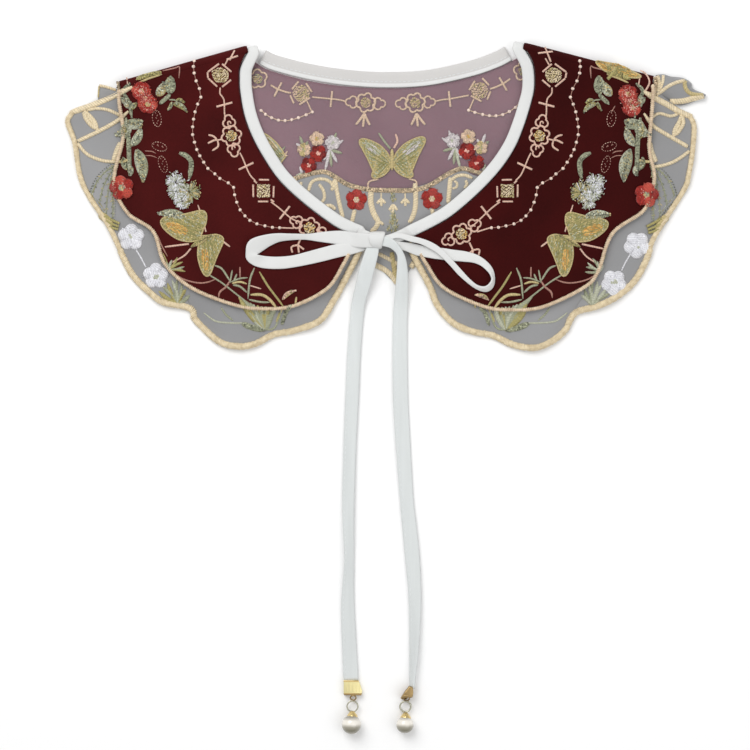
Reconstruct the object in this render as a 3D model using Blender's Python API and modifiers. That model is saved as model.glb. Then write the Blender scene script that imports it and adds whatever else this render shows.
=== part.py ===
import math

import bmesh
import bpy
import numpy as np
from mathutils.bvhtree import BVHTree

MM = 0.001

# Driving sizes, in metres
COLLAR_WIDTH = 385.5 * MM
CLOTH = 1.0 * MM
GAP = 0.3 * MM
FOLD_DEPTH = 4.7 * MM
PUFF_HEIGHT = 4.4 * MM
PUFF_REACH = 34.0 * MM
BINDING_WIDTH = 7.2 * MM
BACK_BINDING_WIDTH = 9.0 * MM
BINDING_HEIGHT = 2.5 * MM
HEM_CORD_WIDTH = 3.1 * MM
HEM_CORD_HEIGHT = 2.2 * MM
LINE_WIDTH = 2.6 * MM
LINE_HEIGHT = 1.3 * MM
TIE_WIDTH = 8.4 * MM
TIE_HEIGHT = 1.8 * MM
APPLIQUE = 1.2 * MM
PEARL_RADIUS = 5.7 * MM
RING_RADIUS = 3.3 * MM
RING_WIRE = 0.55 * MM
CRIMP_LENGTH = 7.6 * MM
CRIMP_WIDTH = 11.4 * MM
CRIMP_HEIGHT = 3.2 * MM

# Plan tables hold (across, down) in picture units; the collar spans 642.5 of them
UNIT = COLLAR_WIDTH / 642.5
MIDDLE_ACROSS = 385.8
MIDDLE_DOWN = 195.9

# Heights of the middle of each layer, from the floor up
LAYER = CLOTH + GAP
VELVET_BACK_Z = CLOTH / 2
ORGANZA_BACK_Z = VELVET_BACK_Z + LAYER
ORGANZA_FRONT_Z = ORGANZA_BACK_Z + LAYER
VELVET_FRONT_Z = ORGANZA_FRONT_Z + LAYER
FLOOR_GAP = 0.15 * MM
CAST_FROM = 100 * MM

LEFT = {
    "neck": ((247.8, 50.4), (240.0, 67), (238.8, 80), (239.6, 93), (243.6, 115), (251.6, 137), (263.6, 159),
             (279, 181), (302.4, 203), (331.5, 225), (348, 233.8), (357, 237.6)),
    "border": ((119, 81), (119, 103), (122.5, 137), (113.3, 181.6), (126.7, 213.2), (152.6, 232), (164, 263.7),
               (190.6, 288.2), (233.5, 305.5), (264, 309.6), (294.7, 306.5), (328, 289), (344, 265), (351, 251)),
    "hem": ((69.5, 111), (64.5, 121.6), (72, 143.3), (76.6, 174), (85.5, 195.6), (107.2, 228.8), (121.2, 259.6),
            (131.4, 278), (147.8, 294.3), (162, 304.5), (188.6, 310.6), (192.7, 320.8), (217, 343.3),
            (237.6, 349), (256, 346.3), (274.3, 337), (294.7, 333), (321, 322.9), (335.5, 302.4),
            (349.8, 276), (361, 253.5), (364, 243)),
    "fold": ((250, 44), (119, 81)),
}
RIGHT = {
    "neck": ((523.5, 46), (532.4, 62), (535, 75), (534.8, 90), (531.6, 104), (524.8, 126), (515.6, 148),
             (501, 170), (480.6, 192), (455.4, 214), (437, 225.6), (412, 238)),
    "border": ((653.5, 76.3), (652.5, 107), (650, 149.3), (655, 178.7), (645, 210), (613, 234), (598.6, 271.8),
               (584.3, 288.2), (543.5, 307.6), (512.9, 310.6), (484.3, 307.6), (444, 289), (426, 265),
               (418, 251)),
    "hem": ((692.7, 114.5), (697, 125.4), (695.6, 149.3), (692, 173), (686.4, 191.4), (657.7, 236.3), (649.6, 259.6),
            (637.3, 282), (619, 298.4), (598.6, 308.6), (577, 315), (568, 331), (553.7, 343.3), (535.3, 350.4),
            (512.9, 347.3), (492.4, 338), (472, 334), (451.6, 324.9), (435.3, 306.5), (427, 286),
            (412, 258), (407, 244)),
    "fold": ((521, 41), (655, 76)),
}
BACK = {
    "neck": ((253, 60), (267, 69), (304, 79.5), (341, 85.5), (385, 88), (424, 86), (470, 77), (500, 66), (517, 58)),
    "border": ((124, 90), (140, 135), (190, 165), (245, 178), (291, 179.8), (329.9, 172.4), (348.4, 183.5),
               (392.8, 190), (433.4, 181.7), (459.3, 168.7), (477.8, 176), (530, 180), (590, 165),
               (635, 130), (649, 88)),
    "hem": ((100, 84), (97, 104), (95, 150), (106, 205), (140, 262), (190, 285), (240, 306), (290, 300), (335, 272),
            (361, 247), (373, 260), (398, 284), (411, 268), (424, 252), (440, 280), (490, 304),
            (540, 306), (600, 275), (648, 215), (680, 160), (678, 125), (655, 92)),
    "binding": ((262.5, 56.7), (276, 62.7), (308, 70.9), (345, 76.9), (385, 79.4), (427, 77.4), (470, 68.3), (495, 59.8),
                (508.5, 53)),
}

# Raised satin-stitch ribs on the organza border, each a path and its width
RIBS = {
    "rib_top_left": ((72, 113), (85, 107.8), (99, 102.6), (113, 99), 3.0),
    "rib_fork_left": ((86, 112), (97, 110.5), (109, 111.5), (117, 116), 2.0),
    "rib_pod_left": ((84.5, 115), (87, 123), (94.5, 127.5), (94.5, 118), 2.2),
    "rib_mid_left": ((79, 142), (94, 135.5), (110, 125.5), (117, 121.5), 2.0),
    "rib_low_left": ((82, 150), (92, 153.5), (104, 159), (111.5, 163), 2.0),
    "rib_top_right": ((689.5, 116.5), (678, 109.5), (666, 103.5), (659, 101.5), 3.0),
    "rib_fork_right": ((678, 116), (670.3, 116.6), (662, 114.2), (657.5, 115.5), 2.0),
    "rib_pod_right": ((682, 119.5), (683, 128), (675.5, 133.5), (675.5, 123), 2.2),
    "rib_mid_right": ((687, 146.5), (676, 141), (665, 133.5), (656, 127.8), 2.0),
    "rib_low_right": ((687, 151.5), (679, 157), (669, 163), (658.5, 165), 2.0),
}
# Thick applique flowers: across, down, radius, petals
FLOWERS = {
    "flower_white_upper_left": (131.6, 237, 12.6, 5),
    "flower_white_lower_left": (155.9, 275.9, 12.2, 5),
    "flower_white_upper_right": (637.2, 245, 12.2, 5),
    "flower_white_lower_right": (614.2, 282.6, 12.6, 5),
    "flower_red_left": (122.5, 187.5, 11.0, 5),
    "flower_red_right": (643.5, 189.5, 11.0, 5),
    "flower_red_shoulder_left": (148, 104.5, 8.5, 5),
    "flower_red_shoulder_right": (629.5, 103.0, 9.5, 5),
    "flower_red_back_left": (356.7, 200.2, 10.5, 5),
    "flower_red_back_right": (431.6, 199.3, 10.5, 5),
    "aster_left": (181, 188, 15.5, 9),
    "aster_right": (587.5, 190, 15.5, 9),
}
# Butterflies: across, down, half span of the upper wings, turn in degrees, share of the height that shows
BUTTERFLIES = {
    "butterfly_left": (198.5, 240.5, 32, -28, 1.0),
    "butterfly_right": (573, 242, 32, 30, 1.0),
    "butterfly_back": (391.5, 159, 31, 0, 1.0),
    "butterfly_shoulder": (616, 83, 21, 14, 0.5),
}
# Bow loops and tails: across, down, height of the middle above what lies below (loops) or the floor (tails), mm
LOOP_LEFT = ((366, 236.5, 1.6), (350, 235.6, 0.8), (326, 235.4, 0.3), (300, 235.4, 0.3), (274, 238.4, 0.3),
             (257, 244.5, 0.5), (253.5, 251.5, 0.6), (260, 259.2, 0.5), (277, 262.6, 0.3), (300, 262.2, 0.3),
             (324, 258.4, 0.3), (346, 251.6, 0.6), (364, 245.2, 1.2))
LOOP_RIGHT = ((386, 236, 4.4), (400, 236.6, 4.0), (416, 240.4, 3.2), (432, 246.6, 2.6), (446, 256, 2.4),
              (455, 267, 1.4), (464, 278, 0.6), (475, 287, 0.4), (486, 289, 0.4), (492, 280, 0.4),
              (488, 267, 0.4), (471, 259, 0.3), (450, 254.6, 0.3), (432, 252.4, 0.3), (412, 250.6, 0.3),
              (392, 247.6, 0.8))
TAIL_LEFT = ((373, 251, 8.4), (370, 262, 8.0), (366.3, 275, 6.2), (362.5, 288, 4.6), (359, 300, 2.2), (356, 315, 1.1),
             (352.5, 360, 1.1), (351, 400, 1.1), (349, 450, 1.1), (348, 500, 1.1), (349.3, 560, 1.1),
             (348, 606, 1.1), (349.5, 652, 1.1), (351, 680.5, 1.6))
TAIL_RIGHT = ((385.6, 246, 10), (391, 247, 10), (396.5, 252, 9.9), (399, 262, 8.6), (401.5, 275, 6.6),
              (401.5, 288, 5.0), (399.5, 300, 2.4), (399.5, 315, 1.1), (399, 360, 1.1), (400.5, 400, 1.1), (403, 450, 1.1), (406.5, 500, 1.1),
              (412.5, 560, 1.1), (415, 606, 1.1), (414, 652, 1.3), (409.2, 681.6, 2.2))

COLOURS = {
    "velvet": ((0.048, 0.003, 0.004), 0.85, 0.0),
    "organza": ((0.36, 0.38, 0.40), 0.5, 0.0),
    "tape": ((0.84, 0.85, 0.84), 0.7, 0.0),
    "cream": ((0.78, 0.64, 0.40), 0.5, 0.0),
    "white": ((0.85, 0.86, 0.9), 0.5, 0.0),
    "red": ((0.42, 0.05, 0.03), 0.5, 0.0),
    "olive": ((0.42, 0.36, 0.16), 0.5, 0.0),
    "gold": ((0.72, 0.55, 0.22), 0.25, 1.0),
    "pearl": ((0.62, 0.58, 0.52), 0.18, 0.0),
}

for old in list(bpy.data.objects):
    bpy.data.objects.remove(old, do_unlink=True)

collection = bpy.data.collections.new("embroidered_collar")
bpy.context.scene.collection.children.link(collection)
surfaces = []


def material(kind):
    found = bpy.data.materials.get(kind)
    if found:
        return found
    made = bpy.data.materials.new(kind)
    made.use_nodes = True
    colour, roughness, metallic = COLOURS[kind]
    shader = made.node_tree.nodes["Principled BSDF"]
    shader.inputs["Base Color"].default_value = (*colour, 1)
    shader.inputs["Roughness"].default_value = roughness
    shader.inputs["Metallic"].default_value = metallic
    return made


def place(across, down):
    return (across - MIDDLE_ACROSS) * UNIT, (MIDDLE_DOWN - down) * UNIT


# Evenly spaced points along an open run of points
def resample(points, count):
    points = np.asarray(points, float)
    steps = np.linalg.norm(np.diff(points, axis=0), axis=1)
    along = np.concatenate([[0], np.cumsum(steps)])
    wanted = np.linspace(0, along[-1], count)
    return np.stack([np.interp(wanted, along, points[:, k]) for k in range(points.shape[1])], axis=1)


# A Catmull-Rom curve through the points, read at evenly spaced places
def smooth(points, count):
    points = np.asarray(points, float)
    ends = np.vstack([2 * points[0] - points[1], points, 2 * points[-1] - points[-2]])
    fine = []
    for a, b, c, d in zip(ends, ends[1:], ends[2:], ends[3:]):
        for s in np.linspace(0, 1, 24, endpoint=False):
            fine.append(0.5 * (2 * b + (c - a) * s + (2 * a - 5 * b + 4 * c - d) * s * s
                               + (3 * b - a - 3 * c + d) * s ** 3))
    fine.append(points[-1])
    return resample(fine, count)


def plan(table, count):
    return smooth([place(*row[:2]) for row in table], count)


# The plan path moved to its left by a distance
def beside(path, distance):
    along = np.gradient(path[:, :2], axis=0)
    along /= np.linalg.norm(along, axis=1)[:, None]
    return path[:, :2] + distance * np.stack([-along[:, 1], along[:, 0]], axis=1)


def finish(mesh_object, kind, smoothed=True):
    mesh_object.data.materials.append(material(kind))
    for face in mesh_object.data.polygons:
        face.use_smooth = smoothed
    return mesh_object


def from_bmesh(name, shape, kind):
    mesh = bpy.data.meshes.new(name)
    shape.to_mesh(mesh)
    shape.free()
    made = bpy.data.objects.new(name, mesh)
    collection.objects.link(made)
    return finish(made, kind)


# Lets later pieces lie on this one
def rests(made):
    graph = bpy.context.evaluated_depsgraph_get()
    graph.update()
    surfaces.append(BVHTree.FromObject(made, graph))
    return made


# The highest surface so far within a reach of a plan point, or the floor
def top(x, y, reach=0.0):
    around = [(0, 0)]
    if reach:
        around += [(reach * math.cos(k * math.pi / 4), reach * math.sin(k * math.pi / 4)) for k in range(8)]
    best = FLOOR_GAP - GAP
    for dx, dy in around:
        for tree in surfaces:
            hit = tree.ray_cast((x + dx, y + dy, CAST_FROM), (0, 0, -1))[0]
            if hit is not None:
                best = max(best, hit.z)
    return best


# An open sheet through rows of points, given its wall by Solidify
def panel(name, grid, kind):
    shape = bmesh.new()
    rows = [[shape.verts.new(point) for point in row] for row in grid]
    for low, high in zip(rows, rows[1:]):
        for a, b, c, d in zip(low, low[1:], high[1:], high):
            shape.faces.new((a, b, c, d))
    made = from_bmesh(name, shape, kind)
    wall = made.modifiers.new("wall", "SOLIDIFY")
    wall.thickness = CLOTH
    wall.offset = 0
    return rests(made)


# A rounded flat section carried along a path, level across its width
def sweep(name, path, widths, heights, kind, sides=8):
    path = np.asarray(path, float)
    along = np.gradient(path, axis=0)
    along /= np.linalg.norm(along, axis=1)[:, None]
    widths = np.broadcast_to(widths, len(path))
    heights = np.broadcast_to(heights, len(path))
    shape = bmesh.new()
    rings = []
    side = None
    for point, way, width, height in zip(path, along, widths, heights):
        flat = np.array([-way[1], way[0], 0.0])
        if side is None or np.linalg.norm(flat) > 0.35:
            flat /= np.linalg.norm(flat)
            side = flat if side is None or flat @ side > 0 else -flat
        up = np.cross(way, side)
        up /= np.linalg.norm(up)
        ring = []
        for k in range(sides):
            angle = 2 * math.pi * (k + 0.5) / sides
            c, s = math.cos(angle), math.sin(angle)
            squared = max(abs(c), abs(s)) ** 0.5
            ring.append(shape.verts.new(point + side * (width / 2) * c / squared * 0.94
                                        + up * (height / 2) * s / squared * 0.94))
        rings.append(ring)
    for low, high in zip(rings, rings[1:]):
        for k in range(sides):
            shape.faces.new((low[k], low[(k + 1) % sides], high[(k + 1) % sides], high[k]))
    shape.faces.new(rings[0][::-1])
    shape.faces.new(rings[-1])
    bmesh.ops.recalc_face_normals(shape, faces=shape.faces)
    return from_bmesh(name, shape, kind)


# Middle heights that lay a strip on what is under it, eased along its length
def on_top(path, width, height):
    beds = np.array([top(x, y, width * 0.55) for x, y in path[:, :2]])
    eased = beds.copy()
    for k in range(len(beds)):
        eased[k] = max(beds[max(0, k - 1):k + 2])
    return np.column_stack([path[:, :2], eased + GAP + height / 2])


# Where each front turns over the back: the inner end, the run and the outward normal of its fold
def fold_of(side):
    inner = np.array(place(*side["fold"][0]))
    outer = np.array(place(*side["fold"][1]))
    run = (outer - inner) / np.linalg.norm(outer - inner)
    normal = np.array([-run[1], run[0]])
    if normal[1] < 0:
        normal = -normal
    return inner, normal


# How far the springy fold holds the front up at a plan point
def puff(point, side):
    inner, normal = fold_of(side)
    inside = (inner - np.asarray(point[:2])) @ normal
    share = min(max(inside / PUFF_REACH, 0), 1)
    return PUFF_HEIGHT * (1 - share * share * (3 - 2 * share))


def billow(x, y):
    return 0.35 * MM * (1 + math.sin(x * 52 + 1.3) * math.cos(y * 61))


# The plan run with its first stretch kept a depth inside the fold line
def started(points, side, depth):
    inner, normal = fold_of(side)
    out = points.copy()
    for k, point in enumerate(out):
        short = depth - (inner - point) @ normal
        if short > 0:
            out[k] = point - normal * short
    return out


def front(name, side, sign):
    columns = 46
    neck = started(plan(side["neck"], columns), side, FOLD_DEPTH)
    border = started(plan(side["border"], columns), side, FOLD_DEPTH)
    hem = beside(plan(side["hem"], columns), sign * (HEM_CORD_WIDTH + 2.5 * GAP))
    ground_neck = started(neck, side, FOLD_DEPTH + 1.8 * MM)
    ground_border = started(border, side, FOLD_DEPTH + 1.8 * MM)

    # Organza ground: three runs under the velvet, four across the open border
    grid = []
    for share in np.linspace(0, 1, 4):
        points = ground_neck * (1 - share) + ground_border * share
        grid.append([(x, y, ORGANZA_FRONT_Z + puff((x, y), side) + billow(x, y)) for x, y in points])
    for share in (0.25, 0.5, 0.75, 1.0):
        points = ground_border * (1 - share) + hem * share
        row = []
        for k, (x, y) in enumerate(points):
            wave = 0.5 - 0.5 * math.cos(2 * math.pi * 5.5 * k / (columns - 1))
            level = ORGANZA_FRONT_Z * (1 - share) + CLOTH * share + billow(x, y) * (1 - share)
            level += puff((x, y), side) * (1 - share) ** 2 + 1.4 * MM * wave * share
            row.append((x, y, max(level, top(x, y, 6 * MM) + GAP + CLOTH / 2)))
        grid.append(row)
    panel(f"organza_front_{name}", grid, "organza")
    hem_heights = [point[2] for point in grid[-1]]

    # Velvet over it, carried round the fold and under
    grid = []
    inner, normal = fold_of(side)
    for share in np.linspace(0, 1, 4):
        points = neck * (1 - share) + border * share
        row = [(x, y, VELVET_FRONT_Z + puff((x, y), side) + billow(x, y)) for x, y in points]
        x, y, z = row[0]
        radius = (z - VELVET_BACK_Z) / 2
        turn = []
        for angle in np.linspace(math.pi, 0, 7)[:-1]:
            out = radius * math.sin(angle) * 0.95
            turn.append((x + normal[0] * out, y + normal[1] * out, VELVET_BACK_Z + radius * (1 + math.cos(angle))))
        grid.append(turn + row)
    panel(f"velvet_front_{name}", grid, "velvet")
    return hem_heights


def back():
    columns = 38
    neck = plan(BACK["neck"], columns)
    border = plan(BACK["border"], columns)
    hem = plan(BACK["hem"], columns)
    inside = {}
    for key, points in (("neck", neck), ("border", border), ("hem", hem)):
        inside[key] = points
        for side in (LEFT, RIGHT):
            if key != "hem":
                inside[key] = started(inside[key], side, FOLD_DEPTH + GAP + 0.2 * MM)
    grid = [[(x, y, VELVET_BACK_Z) for x, y in inside["neck"] * (1 - s) + inside["border"] * s] for s in (0, 1)]
    panel("velvet_back", grid, "velvet")
    ground = {}
    for key in ("neck", "border"):
        ground[key] = started(started(inside[key], LEFT, FOLD_DEPTH + 1.8 * MM), RIGHT, FOLD_DEPTH + 1.8 * MM)
    grid = [[(x, y, ORGANZA_BACK_Z) for x, y in ground["neck"] * (1 - s) + ground["border"] * s]
            for s in (0, 0.5, 1)]
    for share in (0.34, 0.67, 1.0):
        points = ground["border"] * (1 - share) + inside["hem"] * share
        grid.append([(x, y, max(ORGANZA_BACK_Z * (1 - share) + (CLOTH / 2 + FLOOR_GAP) * share,
                                top(x, y, 7 * MM) + GAP + CLOTH / 2)) for x, y in points])
    panel("organza_back", grid, "organza")


def bindings():
    path = plan(BACK["binding"], 22)
    level = (VELVET_BACK_Z + ORGANZA_BACK_Z) / 2 + FLOOR_GAP
    rests(sweep("binding_back", np.column_stack([path, np.full(len(path), level)]), BACK_BINDING_WIDTH,
                BINDING_HEIGHT, "tape"))
    for name, side, sign in (("left", LEFT, 1), ("right", RIGHT, -1)):
        inner, normal = fold_of(side)
        run = beside(plan(side["neck"], 28), sign * (BINDING_WIDTH / 2 + 2.6 * GAP))
        run = started(run, side, FOLD_DEPTH + 0.6 * MM)
        rows = [(x, y, max((ORGANZA_FRONT_Z + VELVET_FRONT_Z) / 2 + puff((x, y), side) + billow(x, y),
                           ORGANZA_BACK_Z + LAYER / 2 + BINDING_HEIGHT / 2 + 0.2 * MM)) for x, y in run]
        x, y, z = rows[0]
        low = BINDING_HEIGHT / 2 + FLOOR_GAP
        radius = (z - low) / 2
        turn = []
        for angle in np.linspace(math.pi, 0, 7)[:-1]:
            out = radius * math.sin(angle)
            turn.append((x + normal[0] * out, y + normal[1] * out, low + radius * (1 + math.cos(angle))))
        pinch = np.interp(np.arange(len(turn + rows)), (0, len(turn), len(turn) + 4), (0.86, 0.86, 1))
        rests(sweep(f"binding_{name}", turn + rows, BINDING_WIDTH * pinch, BINDING_HEIGHT, "tape"))


def edge_cords(hem_heights, floor_under):
    for name, side, sign in (("left", LEFT, 1), ("right", RIGHT, -1)):
        count = 62
        edge = beside(plan(side["hem"], count), sign * HEM_CORD_WIDTH / 2)
        heights = resample([(k, z) for k, z in enumerate(hem_heights[name])], count)[:, 1]
        heights = np.maximum(heights, HEM_CORD_HEIGHT / 2 + FLOOR_GAP)
        for k, (x, y) in enumerate(edge):
            heights[k] = max(heights[k], floor_under(x, y) + GAP + HEM_CORD_HEIGHT / 2)
        rests(sweep(f"hem_cord_{name}", np.column_stack([edge, heights]), HEM_CORD_WIDTH, HEM_CORD_HEIGHT,
                    "cream", 6))
    for name, side in (("left", LEFT), ("right", RIGHT)):
        line = started(plan(side["border"], 42), side, FOLD_DEPTH + 1.5 * MM)[1:-1]
        line = on_top(beside(line, (0.5 if name == "left" else -0.5) * MM), LINE_WIDTH, LINE_HEIGHT)
        rests(sweep(f"border_line_{name}", line, LINE_WIDTH, LINE_HEIGHT, "cream", 6))


# The organza edge that stands up in a small cone past the right fold
def ruffle():
    upper = smooth([place(*p) for p in ((657.2, 77.5), (673, 78), (685, 80.5), (693, 88), (706, 94.5))], 10)
    lower = smooth([place(*p) for p in ((657.2, 90.5), (668, 95.5), (680, 98), (692, 98), (705.6, 96.2))], 10)
    grid = []
    for share in np.linspace(0, 1, 6):
        points = upper * (1 - share) + lower * share
        row = []
        for k, (x, y) in enumerate(points):
            rise = math.sin(math.pi * share) * (1 - 0.8 * k / 9) * 6.5 * MM
            row.append((x, y, 1.2 * MM + rise + (0.6 + 0.25 * k) * MM * (1 - share) * 0.6))
        grid.append(row)
    panel("organza_ruffle", grid, "organza")


# A raised patch on the cloth: its outline and one inner ring, each point moved out from what is below
def motif(name, outline, centre, thickness, kind, dome=0.35):
    shape = bmesh.new()
    outline = np.asarray(outline)
    inner = centre + (outline - centre) * 0.55

    def lay(points, lift):
        return [shape.verts.new((x, y, top(x, y, 1.6 * MM) + GAP + lift)) for x, y in points]

    low = lay(outline, 0)
    low_inner = lay(inner, 0)
    high = lay(outline, thickness * (1 - dome))
    high_inner = lay(inner, thickness)
    low_middle = lay([centre], 0)[0]
    high_middle = lay([centre], thickness * 0.9)[0]
    count = len(outline)
    for k in range(count):
        n = (k + 1) % count
        shape.faces.new((low[k], low[n], high[n], high[k]))
        shape.faces.new((high[k], high[n], high_inner[n], high_inner[k]))
        shape.faces.new((low[n], low[k], low_inner[k], low_inner[n]))
        shape.faces.new((high_inner[k], high_inner[n], high_middle))
        shape.faces.new((low_inner[n], low_inner[k], low_middle))
    bmesh.ops.recalc_face_normals(shape, faces=shape.faces)
    return from_bmesh(name, shape, kind)


def flowers():
    for name, (across, down, radius, petals) in FLOWERS.items():
        centre = np.array(place(across, down))
        notch = 0.26 if petals == 5 else 0.16
        outline = []
        count = petals * 4
        for k in range(count):
            angle = 2 * math.pi * k / count + 0.3
            swell = 1 - notch * (0.5 + 0.5 * math.cos(petals * (angle - 0.3)))
            outline.append(centre + radius * UNIT * swell * np.array([math.cos(angle), math.sin(angle)]))
        kind = "red" if "red" in name else "white"
        motif(name, outline, centre, APPLIQUE, kind)


def butterflies():
    # Half outline from the head round the wings to the tail, as shares of the half span
    wing = ((0.06, 0.20), (0.28, 0.48), (0.66, 0.74), (0.98, 0.72), (0.95, 0.42), (0.70, 0.14), (0.66, -0.06),
            (0.72, -0.36), (0.52, -0.62), (0.26, -0.56), (0.10, -0.30))
    for name, (across, down, span, turn, squash) in BUTTERFLIES.items():
        centre = np.array(place(across, down))
        angle = math.radians(turn)
        outline = list(wing) + [(-x, y) for x, y in wing[::-1]]
        points = []
        for x, y in outline:
            reach = np.array([x * math.cos(angle) - y * math.sin(angle),
                              (x * math.sin(angle) + y * math.cos(angle)) * squash])
            points.append(centre + reach * span * UNIT)
        motif(name, points, centre, APPLIQUE, "olive")


def ribs():
    for name, row in RIBS.items():
        width = row[-1] * MM
        path = on_top(plan(row[:-1], 10), width, LINE_HEIGHT)
        sweep(name, path, width, LINE_HEIGHT, "cream", 6)
    tip = plan(((374.5, 266.5), (385, 273.7), (392.5, 280)), 6)
    tip_z = np.full(len(tip), 1.2 * MM)
    tip = np.column_stack([beside(tip, -(HEM_CORD_WIDTH / 2 - GAP / 2)), tip_z])
    sweep("hem_cord_back", tip, HEM_CORD_WIDTH, 2.0 * MM, "cream", 6)


def bow():
    for name, table in (("left", LOOP_LEFT), ("right", LOOP_RIGHT)):
        count = 32
        path = smooth([(*place(a, d), lift * MM) for a, d, lift in table], count)
        bed = on_top(path, TIE_WIDTH, TIE_HEIGHT)
        path[:, 2] += bed[:, 2]
        for _ in range(3):
            path[1:-1, 2] = np.maximum(path[1:-1, 2], (path[:-2, 2] + path[2:, 2]) / 2)
        share = np.linspace(0, 1, count)
        pinch = np.minimum(1, 0.42 + 3.2 * np.minimum(share, 1 - share))
        wide = TIE_WIDTH * (0.74 if name == "left" else 0.62)
        sweep(f"bow_loop_{name}", path, wide * pinch, TIE_HEIGHT, "tape")
    bpy.ops.mesh.primitive_uv_sphere_add(segments=12, ring_count=8, radius=1)
    knot = bpy.context.object
    knot.name = knot.data.name = "bow_knot"
    x, y = place(376.6, 241.5)
    for corner in knot.data.vertices:
        a, b, c = corner.co
        size = max(abs(a), abs(b), abs(c)) ** 0.45
        corner.co = (x + a / size * 5.0 * MM, y + b / size * 5.2 * MM, 9.4 * MM + c / size * 2.6 * MM)
    for owner in list(knot.users_collection):
        owner.objects.unlink(knot)
    collection.objects.link(knot)
    finish(knot, "tape")


def ties():
    for name, table in (("left", TAIL_LEFT), ("right", TAIL_RIGHT)):
        path = smooth([(*place(a, d), z * MM) for a, d, z in table], 36)
        share = np.linspace(0, 1, len(path))
        narrow = 1 - 0.35 * (1 - np.minimum(1, share * 9))
        thick = np.full(len(path), TIE_HEIGHT)
        if name == "right":
            late = np.clip((share - 0.82) / 0.18, 0, 1)
            narrow -= 0.62 * late
            thick += 2.2 * MM * late
            path[:, 2] = np.maximum(path[:, 2], thick / 2 + FLOOR_GAP)
        sweep(f"tie_{name}", path, TIE_WIDTH * narrow, thick, "tape")


def block(name, centre, size, kind, bevel):
    bpy.ops.mesh.primitive_cube_add(size=1)
    made = bpy.context.object
    made.name = made.data.name = name
    for corner in made.data.vertices:
        corner.co = [c + v * s for c, v, s in zip(centre, corner.co, size)]
    rounding = made.modifiers.new("rounding", "BEVEL")
    rounding.width = bevel
    rounding.segments = 2
    for owner in list(made.users_collection):
        owner.objects.unlink(made)
    collection.objects.link(made)
    return finish(made, kind)


def drops():
    for name, across, crimp_down, pearl_across, pearl_down, edge_on in (
            ("left", 351.8, 687.4, 351.3, 724.0, False), ("right", 408.4, 688.6, 405.3, 725.2, True)):
        x, y = place(across, crimp_down)
        width, height = (CRIMP_HEIGHT * 1.9, 8.4 * MM) if edge_on else (CRIMP_WIDTH, CRIMP_HEIGHT)
        top_y = y + CRIMP_LENGTH / 2
        block(f"crimp_{name}", (x, y, height / 2 + 0.2 * MM), (width, CRIMP_LENGTH, height), "gold", 0.5 * MM)
        px, py = place(pearl_across, pearl_down)
        bpy.ops.mesh.primitive_torus_add(major_radius=RING_RADIUS, minor_radius=RING_WIRE, major_segments=16,
                                         minor_segments=6)
        ring = bpy.context.object
        ring_y = top_y - CRIMP_LENGTH - GAP - RING_RADIUS - RING_WIRE
        moved(ring, f"ring_{name}", ((x + px) / 2, ring_y, 2.3 * MM), "gold")
        cap_y = py + PEARL_RADIUS + GAP
        cap_length = ring_y - RING_RADIUS - RING_WIRE - GAP - cap_y
        turned_cap(f"pearl_cap_{name}", (px, cap_y), cap_length)
        bpy.ops.mesh.primitive_uv_sphere_add(segments=16, ring_count=10, radius=PEARL_RADIUS)
        moved(bpy.context.object, f"pearl_{name}", (px, py, PEARL_RADIUS + 0.1 * MM), "pearl")


# A small cup between pearl and ring, turned about the line of the tie
def turned_cap(name, foot, length):
    shape = bmesh.new()
    bmesh.ops.create_cone(shape, cap_ends=True, segments=14, radius1=2.3 * MM, radius2=0.9 * MM, depth=length)
    for corner in shape.verts:
        a, b, c = corner.co
        corner.co = (foot[0] + a, foot[1] + length / 2 + c, PEARL_RADIUS + 0.1 * MM - b)
    drop = PEARL_RADIUS - 2.3 * MM
    for corner in shape.verts:
        share = (corner.co.y - foot[1]) / length
        corner.co.z -= drop * share
    bmesh.ops.recalc_face_normals(shape, faces=shape.faces)
    return from_bmesh(name, shape, "gold")


def moved(made, name, centre, kind):
    made.name = made.data.name = name
    for corner in made.data.vertices:
        corner.co = [v + c for v, c in zip(corner.co, centre)]
    for owner in list(made.users_collection):
        owner.objects.unlink(made)
    collection.objects.link(made)
    return finish(made, kind)


back()
back_count = len(surfaces)


# The highest point of the back layers near a plan point
def back_top(x, y):
    found = [tree.ray_cast((x + dx, y + dy, CAST_FROM), (0, 0, -1))[0]
             for tree in surfaces[:back_count] for dx in (-2 * MM, 0, 2 * MM) for dy in (-2 * MM, 0, 2 * MM)]
    return max([hit.z for hit in found if hit is not None], default=FLOOR_GAP - GAP)


heights_at_hem = {"left": front("left", LEFT, 1), "right": front("right", RIGHT, -1)}
bindings()
edge_cords(heights_at_hem, back_top)
ruffle()
ribs()
flowers()
butterflies()
bow()
ties()
drops()
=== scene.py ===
import math
import random

import bmesh
import bpy
import numpy as np
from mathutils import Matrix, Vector
from mathutils.bvhtree import BVHTree


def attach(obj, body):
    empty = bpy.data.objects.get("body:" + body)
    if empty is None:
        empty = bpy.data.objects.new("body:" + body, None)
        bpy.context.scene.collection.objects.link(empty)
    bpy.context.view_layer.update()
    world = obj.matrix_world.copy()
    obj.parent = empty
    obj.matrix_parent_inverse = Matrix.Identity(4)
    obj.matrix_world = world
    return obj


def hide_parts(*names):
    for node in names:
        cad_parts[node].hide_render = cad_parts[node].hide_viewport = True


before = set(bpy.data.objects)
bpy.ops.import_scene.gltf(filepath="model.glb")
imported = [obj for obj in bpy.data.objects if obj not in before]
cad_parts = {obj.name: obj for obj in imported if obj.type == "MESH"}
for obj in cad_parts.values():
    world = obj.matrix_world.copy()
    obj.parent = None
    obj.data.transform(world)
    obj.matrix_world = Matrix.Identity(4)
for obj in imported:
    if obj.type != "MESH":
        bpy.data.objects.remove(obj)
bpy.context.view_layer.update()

mm = 0.001
scene = bpy.context.scene

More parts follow.
